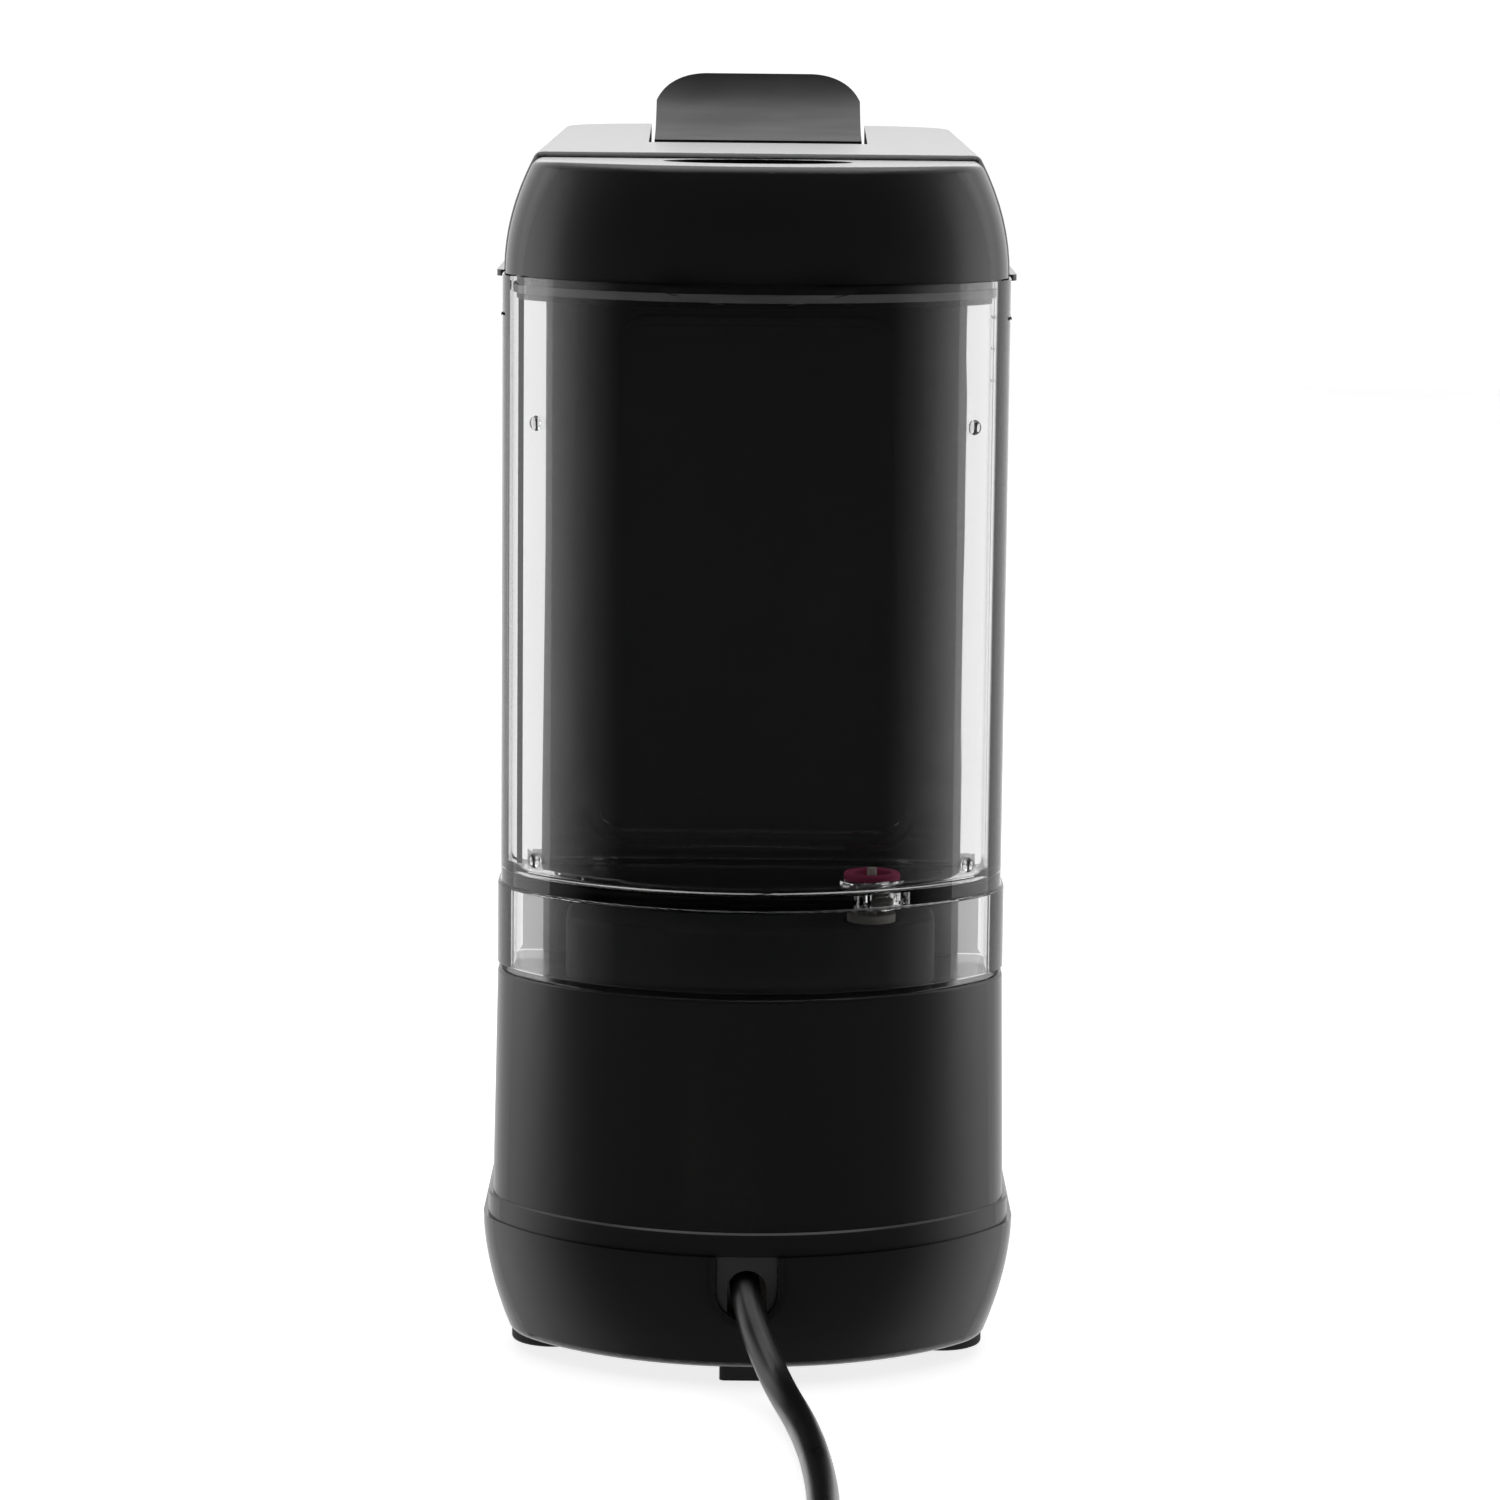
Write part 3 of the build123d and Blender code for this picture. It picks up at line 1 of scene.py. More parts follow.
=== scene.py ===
import logging
import math
from dataclasses import dataclass, field
from enum import Enum
from typing import Any, Iterable, Sequence

import bmesh
import bpy
from mathutils import Matrix, Vector


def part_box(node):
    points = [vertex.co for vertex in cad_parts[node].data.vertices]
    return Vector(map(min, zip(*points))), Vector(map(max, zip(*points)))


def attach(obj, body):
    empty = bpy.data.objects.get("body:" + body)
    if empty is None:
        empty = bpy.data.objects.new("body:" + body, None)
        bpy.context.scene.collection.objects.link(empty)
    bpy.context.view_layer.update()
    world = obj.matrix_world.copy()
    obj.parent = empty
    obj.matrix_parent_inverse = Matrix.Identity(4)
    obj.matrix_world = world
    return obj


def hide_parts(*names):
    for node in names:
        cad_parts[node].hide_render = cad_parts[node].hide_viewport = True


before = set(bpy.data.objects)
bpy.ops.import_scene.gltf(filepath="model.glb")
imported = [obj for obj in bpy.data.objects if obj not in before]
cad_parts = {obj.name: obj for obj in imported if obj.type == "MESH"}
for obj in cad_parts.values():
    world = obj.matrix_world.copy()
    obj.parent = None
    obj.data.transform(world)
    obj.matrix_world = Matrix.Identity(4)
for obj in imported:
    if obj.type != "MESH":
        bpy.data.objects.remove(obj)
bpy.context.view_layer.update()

# A slim single-serve capsule coffee maker, seen from behind.  Lengths are in metres, colours
# are sRGB hex values, and a name that ends in _mm is a real size in millimetres.
MM = 0.001
TRACK_SHARE = 0.06  # how much of a circuit board's cell its copper track takes
LOG = logging.getLogger("coffee_maker")


class Body(Enum):
    """The moving parts that a new piece can ride on."""

    HOUSING = "housing"
    TANK = "tank"
    SMALL_BUTTON = "small_button"
    MEDIUM_BUTTON = "medium_button"
    LARGE_BUTTON = "large_button"


# ------------------------------------------------------------------ shader helpers
def linear(hex_colour: str) -> tuple[float, float, float, float]:
    """Turn an sRGB hex colour into linear RGBA.

    Args:
        hex_colour: Six hex digits after a hash sign.

    Returns:
        Red, green, blue and an alpha of one, all linear.
    """
    channels = [int(hex_colour[i : i + 2], 16) / 255 for i in (1, 3, 5)]
    curve = [c / 12.92 if c <= 0.04045 else ((c + 0.055) / 1.055) ** 2.4 for c in channels]
    return (curve[0], curve[1], curve[2], 1.0)


def add_node(
    tree: bpy.types.NodeTree,
    kind: str,
    inputs: dict[Any, Any] | None = None,
    **settings: Any,
) -> bpy.types.Node:
    """Add one shader node with its settings, values and links.

    Args:
        tree: The node tree to add to.
        kind: The node's type name.
        inputs: A value or an output socket to link, for each input by name or number.
        **settings: Properties of the node itself.

    Returns:
        The new node.
    """
    node = tree.nodes.new(kind)
    for name, value in settings.items():
        setattr(node, name, value)
    for socket, value in (inputs or {}).items():
        if isinstance(value, bpy.types.NodeSocket):
            tree.links.new(value, node.inputs[socket])
        else:
            node.inputs[socket].default_value = value
    return node


# ------------------------------------------------------------------ finishes
@dataclass(frozen=True)
class Finish:
    """A surface with a fine grain and a slow change of colour and gloss over it.

    Attributes:
        name: The material's name.
        colour: Main colour.
        colour_spread: Colour that the main one drifts to in patches.
        roughness: Lowest and highest roughness over the patches.
        ior: Index of refraction; metals keep the default.
        metallic: One for bare metal.
        grain_mm: Size of the surface's grain.
        grain_height_mm: Height of the grain.
        stretch: How much the grain is squeezed along each axis.
        patch_mm: Size of the patches.
        coat: Weight of a clear coat.
        coat_roughness: Roughness of that coat.
        sheen: Weight of the soft sheen of rubber and cloth.
        glow: Share of light scattered under the surface.
        lit: Brightness of a backlit surface's own light.
    """

    name: str
    colour: str
    colour_spread: str
    roughness: tuple[float, float]
    ior: float = 1.5
    metallic: float = 0.0
    grain_mm: float = 0.5
    grain_height_mm: float = 0.01
    stretch: tuple[float, float, float] = (1.0, 1.0, 1.0)
    patch_mm: float = 30.0
    coat: float = 0.0
    coat_roughness: float = 0.03
    sheen: float = 0.0
    glow: float = 0.0
    lit: float = 0.0

    def material(self) -> bpy.types.Material:
        """Return this finish's material, made the first time it is asked for."""
        known = bpy.data.materials.get(self.name)
        if known:
            return known
        made = bpy.data.materials.new(self.name)
        made.use_nodes = True
        tree = made.node_tree
        tree.nodes.clear()
        place = add_node(tree, "ShaderNodeTexCoord").outputs["Object"]
        surface = self.surface(tree, place)
        add_node(tree, "ShaderNodeOutputMaterial", {"Surface": surface.outputs[0]})
        return made

    def patches(
        self, tree: bpy.types.NodeTree, place: bpy.types.NodeSocket
    ) -> bpy.types.NodeSocket:
        """Return the slow noise that colour and gloss follow."""
        inputs = {"Vector": place, "Scale": 1 / (self.patch_mm * MM), "Detail": 4.0}
        return add_node(tree, "ShaderNodeTexNoise", inputs).outputs[0]

    def grain(self, tree: bpy.types.NodeTree, place: bpy.types.NodeSocket) -> bpy.types.NodeSocket:
        """Return the height of the surface's fine grain."""
        squeezed = add_node(
            tree, "ShaderNodeMapping", {"Vector": place, "Scale": self.stretch}
        ).outputs[0]
        inputs = {"Vector": squeezed, "Scale": 1 / (self.grain_mm * MM), "Detail": 2.0}
        return add_node(tree, "ShaderNodeTexNoise", inputs).outputs[0]

    def colour_map(
        self, tree: bpy.types.NodeTree, place: bpy.types.NodeSocket, patch: bpy.types.NodeSocket
    ) -> bpy.types.NodeSocket:
        """Return the colour over the surface."""
        mix = add_node(
            tree,
            "ShaderNodeMix",
            {0: patch, 6: linear(self.colour), 7: linear(self.colour_spread)},
            data_type="RGBA",
        )
        return mix.outputs[2]

    def surface(self, tree: bpy.types.NodeTree, place: bpy.types.NodeSocket) -> bpy.types.Node:
        """Build the finish's shader.

        Args:
            tree: The material's node tree.
            place: Places on the piece, in metres.

        Returns:
            The shader node.
        """
        patch = self.patches(tree, place)
        gloss = add_node(
            tree,
            "ShaderNodeMapRange",
            {0: patch, 1: 0.3, 2: 0.7, 3: self.roughness[0], 4: self.roughness[1]},
        )
        bump = add_node(
            tree,
            "ShaderNodeBump",
            {"Height": self.grain(tree, place), "Distance": self.grain_height_mm * MM},
        )
        inputs: dict[Any, Any] = {
            "Base Color": self.colour_map(tree, place, patch),
            "Roughness": gloss.outputs[0],
            "Normal": bump.outputs[0],
            "Metallic": self.metallic,
            "IOR": self.ior,
            "Coat Weight": self.coat,
            "Coat Roughness": self.coat_roughness,
            "Sheen Weight": self.sheen,
            "Subsurface Weight": self.glow,
            "Subsurface Scale": 0.002,
            "Emission Color": linear("#ffffff"),
            "Emission Strength": self.lit,
        }
        return add_node(tree, "ShaderNodeBsdfPrincipled", inputs)


@dataclass(frozen=True)
class ClearFinish(Finish):
    """A clear moulded plastic with faint flow streaks.

    Attributes:
        clarity: Share of light that passes into the wall.
    """

    clarity: float = 1.0

    def surface(self, tree: bpy.types.NodeTree, place: bpy.types.NodeSocket) -> bpy.types.Node:
        """Build the shader of the solid plastic and let light through it."""
        shader = super().surface(tree, place)
        shader.inputs["Transmission Weight"].default_value = self.clarity
        return shader


@dataclass(frozen=True)
class BoardFinish(Finish):
    """A circuit board: solder mask with paler tracks under it.

    Attributes:
        track: Colour over the copper tracks.
        track_mm: Distance between tracks.
    """

    track: str = "#2f7a48"
    track_mm: float = 5.0

    def colour_map(
        self, tree: bpy.types.NodeTree, place: bpy.types.NodeSocket, patch: bpy.types.NodeSocket
    ) -> bpy.types.NodeSocket:
        """Return the mask's colour with its tracks."""
        cells = add_node(
            tree,
            "ShaderNodeTexVoronoi",
            {"Vector": place, "Scale": 1 / (self.track_mm * MM)},
            feature="DISTANCE_TO_EDGE",
            distance="EUCLIDEAN",
        )
        near_edge = {0: cells.outputs[0], 1: TRACK_SHARE}
        line = add_node(tree, "ShaderNodeMath", near_edge, operation="LESS_THAN")
        mix = add_node(
            tree,
            "ShaderNodeMix",
            {0: line.outputs[0], 6: linear(self.colour), 7: linear(self.track)},
            data_type="RGBA",
        )
        return mix.outputs[2]


@dataclass(frozen=True)
class WovenFinish(Finish):
    """A woven strap: threads cross at a fixed spacing.

    Attributes:
        thread_mm: Distance from one thread to the next.
    """

    thread_mm: float = 1.1

    def grain(self, tree: bpy.types.NodeTree, place: bpy.types.NodeSocket) -> bpy.types.NodeSocket:
        """Return the height of the crossing threads."""
        scale = 1 / (2 * self.thread_mm * MM)
        waves = [
            add_node(
                tree, "ShaderNodeTexWave", {"Vector": place, "Scale": scale}, bands_direction=way
            ).outputs[1]
            for way in ("Y", "DIAGONAL")
        ]
        return add_node(
            tree, "ShaderNodeMath", {0: waves[0], 1: waves[1]}, operation="MULTIPLY"
        ).outputs[0]


# Acrylonitrile butadiene styrene moulded in a polished tool: deep black with mirror-like
# reflections that waver slightly with the moulding's orange peel.
GLOSS_BLACK_ABS = Finish(
    "gloss_black_abs", "#040405", "#070708", (0.035, 0.075), 1.53,
    grain_mm=6.0, grain_height_mm=0.004, patch_mm=45.0,
)
# The same plastic from a spark-eroded tool: a fine even grain that spreads highlights wide.
SATIN_BLACK_ABS = Finish(
    "satin_black_abs", "#0d0d0e", "#121214", (0.34, 0.44), 1.53,
    grain_mm=0.6, grain_height_mm=0.012, patch_mm=25.0,
)
# Dark grey plastic with a coarser etched grain, soft to the eye, paler where light rakes it.
MATT_LEVER_ABS = Finish(
    "matt_lever_abs", "#1c1c1d", "#222223", (0.72, 0.8), 1.46,
    grain_mm=0.7, grain_height_mm=0.03, patch_mm=22.0,
)
# Clear copolyester: a water-clear wall with a faint grey cast and upright flow streaks.
CLEAR_COPOLYESTER = ClearFinish(
    "clear_copolyester", "#f4f4f4", "#eeeeee", (0.01, 0.03), 1.54,
    grain_mm=7.0, grain_height_mm=0.02, stretch=(1.0, 1.0, 0.05), patch_mm=40.0,
)
# Crimson silicone rubber: a soft, slightly waxy red.
RED_SILICONE = Finish(
    "red_silicone", "#a11c46", "#8c1439", (0.3, 0.42), 1.41,
    grain_mm=0.5, grain_height_mm=0.01, patch_mm=6.0, glow=0.15,
)
# Natural silicone rubber: a pale milky grey.
GREY_SILICONE = Finish(
    "grey_silicone", "#8d8d8f", "#7d7d80", (0.35, 0.48), 1.41,
    grain_mm=0.6, grain_height_mm=0.01, patch_mm=8.0, glow=0.2,
)
# Black nitrile rubber: dull, with a dusty bloom.
BLACK_RUBBER = Finish(
    "black_rubber", "#101010", "#1c1c1b", (0.62, 0.78), 1.52,
    grain_mm=0.8, grain_height_mm=0.03, patch_mm=9.0, sheen=0.1,
)
# Stainless steel with a fine brushed grain across it.
BRUSHED_STAINLESS = Finish(
    "brushed_stainless", "#b9b9b8", "#a7a7a8", (0.22, 0.34), metallic=1.0,
    grain_mm=0.5, grain_height_mm=0.006, stretch=(0.04, 1.0, 1.0), patch_mm=30.0,
)
# Nickel on stamped brass: warm white metal with fine stamping marks.
NICKELLED_BRASS = Finish(
    "nickelled_brass", "#c9c1a8", "#b5ab90", (0.18, 0.3), metallic=1.0,
    grain_mm=0.3, grain_height_mm=0.004, stretch=(1.0, 0.1, 1.0), patch_mm=5.0,
)
# Sand-cast aluminium: pale grey with a pebbled skin.
CAST_ALUMINIUM = Finish(
    "cast_aluminium", "#a5a6a8", "#8f9092", (0.42, 0.6), metallic=1.0,
    grain_mm=1.2, grain_height_mm=0.05, patch_mm=14.0,
)
# Glass-filled nylon: off-white, with faint swirls of fibre.
NATURAL_NYLON = Finish(
    "natural_nylon", "#cfcdc5", "#c2bfb5", (0.45, 0.6), 1.53,
    grain_mm=0.9, grain_height_mm=0.02, patch_mm=10.0, glow=0.05,
)
# Glass-epoxy board under a glossy green solder mask.
SOLDER_MASK = BoardFinish(
    "solder_mask", "#0f4a2a", "#0f4a2a", (0.18, 0.28), 1.52,
    grain_mm=1.0, grain_height_mm=0.008, patch_mm=12.0,
)
# Black epoxy of electronic parts.
BLACK_EPOXY = Finish(
    "black_epoxy", "#17181b", "#202126", (0.35, 0.5), 1.5,
    grain_mm=0.7, grain_height_mm=0.01, patch_mm=8.0,
)
# Extruded PVC sheath: black with a satin sheen and faint lines along it.
PVC_SHEATH = Finish(
    "pvc_sheath", "#0d0d0e", "#131314", (0.26, 0.36), 1.53,
    grain_mm=0.9, grain_height_mm=0.012, stretch=(1.0, 0.12, 1.0), patch_mm=16.0,
)
# Frosted polycarbonate lens over the lamp: milky white.
FROSTED_LENS = ClearFinish(
    "frosted_lens", "#e8edf2", "#dfe5ea", (0.35, 0.45), 1.58,
    grain_mm=0.4, grain_height_mm=0.01, patch_mm=3.0, clarity=0.4,
)
# Pad-printed ink: flat and slightly uneven.
PALE_INK = Finish(
    "pale_ink", "#c9cacb", "#b9babb", (0.5, 0.6), 1.48,
    grain_mm=0.3, grain_height_mm=0.004, patch_mm=3.0,
)
DARK_INK = Finish(
    "dark_ink", "#34363a", "#2b2d31", (0.5, 0.6), 1.48,
    grain_mm=0.3, grain_height_mm=0.004, patch_mm=3.0,
)
# Woven nylon hook strap that holds the spare lead together.
WOVEN_NYLON = WovenFinish(
    "woven_nylon", "#141415", "#1e1e20", (0.6, 0.75), 1.53,
    grain_height_mm=0.15, patch_mm=6.0, sheen=0.25,
)
# Opal acrylic of a studio table, lit from below: pale, and nearly shadowless.
OPAL_ACRYLIC = Finish(
    "opal_acrylic", "#f2f2f1", "#efefee", (0.55, 0.65), 1.49,
    grain_mm=2.0, grain_height_mm=0.01, patch_mm=200.0, lit=0.8,
)


# ------------------------------------------------------------------ mesh helpers
ROUND = 2.0  # the power that makes a rounded ring a circle


def new_piece(
    name: str, data: bpy.types.ID, finish: Finish, body: Body
) -> bpy.types.Object:
    """Put a finished mesh or curve in the scene and let it ride on a body.

    Args:
        name: The piece's name.
        data: Its mesh or curve.
        finish: The finish it gets.
        body: The body it rides on.

    Returns:
        The new object.
    """
    piece = bpy.data.objects.new(name, data)
    bpy.context.scene.collection.objects.link(piece)
    data.materials.append(finish.material())
    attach(piece, body.value)
    LOG.info("built %s", name)
    return piece


def mesh_from(bm: bmesh.types.BMesh, name: str, smooth_deg: float = 35.0) -> bpy.types.Mesh:
    """Close a bmesh into a smooth-shaded mesh with sharp edges above an angle."""
    bmesh.ops.recalc_face_normals(bm, faces=bm.faces)
    mesh = bpy.data.meshes.new(name)
    bm.to_mesh(mesh)
    bm.free()
    for face in mesh.polygons:
        face.use_smooth = True
    mesh.set_sharp_from_angle(angle=math.radians(smooth_deg))
    return mesh


def skin(bm: bmesh.types.BMesh, rings: Sequence[Sequence[Vector]], closed: bool = False) -> None:
    """Join rings of points into a skin, capped at both ends unless it closes on itself."""
    rows = [[bm.verts.new(point) for point in ring] for ring in rings]
    pairs = list(zip(rows, rows[1:]))
    if closed:
        pairs.append((rows[-1], rows[0]))
    for low, high in pairs:
        for i in range(len(low)):
            j = (i + 1) % len(low)
            bm.faces.new((low[i], low[j], high[j], high[i]))
    if not closed:
        bm.faces.new(rows[0])
        bm.faces.new(rows[-1])


def rounded_ring(half: float, tall: float, power: float, count: int) -> list[tuple[float, float]]:
    """Points of a rounded outline: a circle at power 2, closer to a rectangle above it."""
    ring = []
    for step in range(count):
        turn = 2 * math.pi * step / count
        c, s = math.cos(turn), math.sin(turn)
        ring.append(
            (
                half * math.copysign(abs(c) ** (2 / power), c),
                tall * math.copysign(abs(s) ** (2 / power), s),
            )
        )
    return ring


# ------------------------------------------------------------------ sub-assemblies
@dataclass
class SubAssembly:
    """A group of pieces that are built and finished together.

    Attributes:
        title: What the group is called in the log.
        finishes: The finish of each CAD node in the group.
    """

    title: str = ""
    finishes: dict[str, Finish] = field(default_factory=dict)

    def build(self) -> None:
        """Make the group's own meshes; a group without any keeps its CAD nodes."""

    def dress(self) -> None:
        """Give every CAD node of the group its finish."""
        for node, finish in self.finishes.items():
            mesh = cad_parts[node].data
            mesh.materials.clear()
            mesh.materials.append(finish.material())
        LOG.info("dressed %s: %s", self.title, ", ".join(self.finishes))


@dataclass
class BottomPan(SubAssembly):
    """Bowl-shaped bottom pan with its band, cord outlet, screws and feet."""

    title: str = "bottom pan"
    finishes: dict[str, Finish] = field(
        default_factory=lambda: {
            "base_pan": GLOSS_BLACK_ABS,
            "base_band": GLOSS_BLACK_ABS,
            "cord_panel": SATIN_BLACK_ABS,
            "cord_clamp": NATURAL_NYLON,
            "pan_screws": BRUSHED_STAINLESS,
            "round_feet": BLACK_RUBBER,
            "rear_foot": BLACK_RUBBER,
        }
    )


@dataclass
class LowerHousing(SubAssembly):
    """Housing under the tank, the front deck, and the tank's seat with its water inlet."""

    title: str = "lower housing"
    finishes: dict[str, Finish] = field(
        default_factory=lambda: {
            "base_housing": GLOSS_BLACK_ABS,
            "front_deck": GLOSS_BLACK_ABS,
            "tank_seat": SATIN_BLACK_ABS,
            "inlet_socket": NATURAL_NYLON,
            "inlet_gasket": BLACK_RUBBER,
            "drip_tray": SATIN_BLACK_ABS,
            "drip_grille": BRUSHED_STAINLESS,
        }
    )


@dataclass
class WaterTank(SubAssembly):
    """Clear tank with its valve and the printed level marks on its side walls."""

    title: str = "water tank"
    mark_levels_mm: tuple[float, ...] = (266.0, 258.0, 250.0)
    mark_lengths_mm: tuple[float, ...] = (11.0, 6.0, 6.0)
    mark_width_mm: float = 0.7
    mark_front_mm: float = 9.0
    ink_mm: float = 0.04
    finishes: dict[str, Finish] = field(
        default_factory=lambda: {
            "water_tank": CLEAR_COPOLYESTER,
            "valve_body": CLEAR_COPOLYESTER,
            "valve_seal": RED_SILICONE,
            "valve_poppet": NATURAL_NYLON,
            "valve_spring": BRUSHED_STAINLESS,
        }
    )

    def build(self) -> None:
        """Print the level marks on the outside of both side walls."""
        low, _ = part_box("water_tank")
        bm = bmesh.new()
        half = self.wall_half()
        for level, length in zip(self.mark_levels_mm, self.mark_lengths_mm):
            for hand in (1, -1):
                front = low.y + self.mark_front_mm * MM
                centre = Vector(
                    (hand * (half + self.ink_mm * MM / 2), front + length * MM / 2, level * MM)
                )
                size = (self.ink_mm * MM, length * MM, self.mark_width_mm * MM)
                matrix = Matrix.Translation(centre) @ Matrix.Diagonal((*size, 1.0))
                bmesh.ops.create_cube(bm, size=1.0, matrix=matrix)
        mesh = mesh_from(bm, "tank_level_marks")
        new_piece("tank_level_marks", mesh, DARK_INK, Body.TANK)

    @staticmethod
    def wall_half() -> float:
        """Half the tank's width above its skirt, read from its mesh."""
        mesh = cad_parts["water_tank"].data
        _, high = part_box("water_tank")
        upper = [v.co.x for v in mesh.vertices if v.co.z > high.z - 0.012]
        return max(upper)


@dataclass
class TankLid(SubAssembly):
    """Gloss lid of the tank with the gasket round its lip."""

    title: str = "tank lid"
    finishes: dict[str, Finish] = field(
        default_factory=lambda: {"tank_lid": GLOSS_BLACK_ABS, "lid_gasket": GREY_SILICONE}
    )


@dataclass
class Column(SubAssembly):
    """Hollow column with the pump, the heater and the boards on its chassis."""

    title: str = "column"
    finishes: dict[str, Finish] = field(
        default_factory=lambda: {
            "column_rear_cover": SATIN_BLACK_ABS,
            "column_front_cover": GLOSS_BLACK_ABS,
            "chassis": NATURAL_NYLON,
            "water_pump": NATURAL_NYLON,
            "pump_coil": BRUSHED_STAINLESS,
            "pump_mounts": BLACK_RUBBER,
            "heater_block": CAST_ALUMINIUM,
            "thermostats": BRUSHED_STAINLESS,
            "control_board": SOLDER_MASK,
            "board_parts": BLACK_EPOXY,
            "inlet_hose": GREY_SILICONE,
            "pressure_hose": GREY_SILICONE,
            "brew_hose": GREY_SILICONE,
        }
    )


@dataclass
class Head(SubAssembly):
    """Head cover on its rim and plate, and the pin that the lever turns on."""

    title: str = "head"
    finishes: dict[str, Finish] = field(
        default_factory=lambda: {
            "head_plate": SATIN_BLACK_ABS,
            "head_rim": GLOSS_BLACK_ABS,
            "head_cover": GLOSS_BLACK_ABS,
            "dock_seal": GREY_SILICONE,
            "lever_pin": BRUSHED_STAINLESS,
        }
    )


@dataclass
class BrewLever(SubAssembly):
    """Lift-up lever with the piercing block and its needle underneath."""

    title: str = "brew lever"
    finishes: dict[str, Finish] = field(
        default_factory=lambda: {
            "brew_lever": MATT_LEVER_ABS,
            "lever_underplate": SATIN_BLACK_ABS,
            "piercing_block": SATIN_BLACK_ABS,
            "pod_gasket": GREY_SILICONE,
            "entry_needle": BRUSHED_STAINLESS,
        }
    )


@dataclass
class BrewUnit(SubAssembly):
    """Brewing side: shell, chamber, capsule holder and spout."""

    title: str = "brew unit"
    finishes: dict[str, Finish] = field(
        default_factory=lambda: {
            "brew_head_shell": GLOSS_BLACK_ABS,
            "brew_chamber": NATURAL_NYLON,
            "brew_spout": SATIN_BLACK_ABS,
            "pod_holder": SATIN_BLACK_ABS,
            "exit_needle": BRUSHED_STAINLESS,
        }
    )


@dataclass
class Controls(SubAssembly):
    """Control panel with three cup-size buttons, their printed cups and the lamp's lens."""

    title: str = "controls"
    line_mm: float = 0.22
    cups: tuple[tuple[str, Body, float, float], ...] = (
        ("small_cup_button", Body.SMALL_BUTTON, 3.4, 2.6),
        ("medium_cup_button", Body.MEDIUM_BUTTON, 4.4, 3.8),
        ("large_cup_button", Body.LARGE_BUTTON, 5.2, 5.2),
    )
    finishes: dict[str, Finish] = field(
        default_factory=lambda: {
            "control_panel": SATIN_BLACK_ABS,
            "small_cup_button": SATIN_BLACK_ABS,
            "medium_cup_button": SATIN_BLACK_ABS,
            "large_cup_button": SATIN_BLACK_ABS,
            "indicator_lens": FROSTED_LENS,
            "switch_board": SOLDER_MASK,
        }
    )

    def build(self) -> None:
        """Print a cup of the right size on each button."""
        for button, body, width_mm, height_mm in self.cups:
            low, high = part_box(button)
            face = Vector(((low.x + high.x) / 2, low.y, (low.z + high.z) / 2))
            name = button.replace("_button", "_symbol")
            curve = bpy.data.curves.new(name, "CURVE")
            curve.dimensions = "3D"
            curve.bevel_depth = self.line_mm * MM
            curve.bevel_resolution = 2
            for line in self.cup_lines(width_mm * MM, height_mm * MM):
                spline = curve.splines.new("POLY")
                spline.points.add(len(line) - 1)
                for point, (x, z) in zip(spline.points, line):
                    point.co = (face.x + x, face.y, face.z + z, 1.0)
            new_piece(name, curve, PALE_INK, body)

    @staticmethod
    def cup_lines(width: float, height: float) -> list[list[tuple[float, float]]]:
        """Lines of a cup seen from the side: its bowl and its handle."""
        top, foot = width / 2, width * 0.32
        bowl = [(-top, height / 2), (-foot, -height / 2), (foot, -height / 2), (top, height / 2)]
        bowl.append(bowl[0])
        reach = width * 0.24
        handle = [
            (top - 0.06 * width + reach * math.sin(t), height * 0.12 + 0.24 * height * math.cos(t))
            for t in [math.pi * step / 8 for step in range(9)]
        ]
        return [bowl, handle]


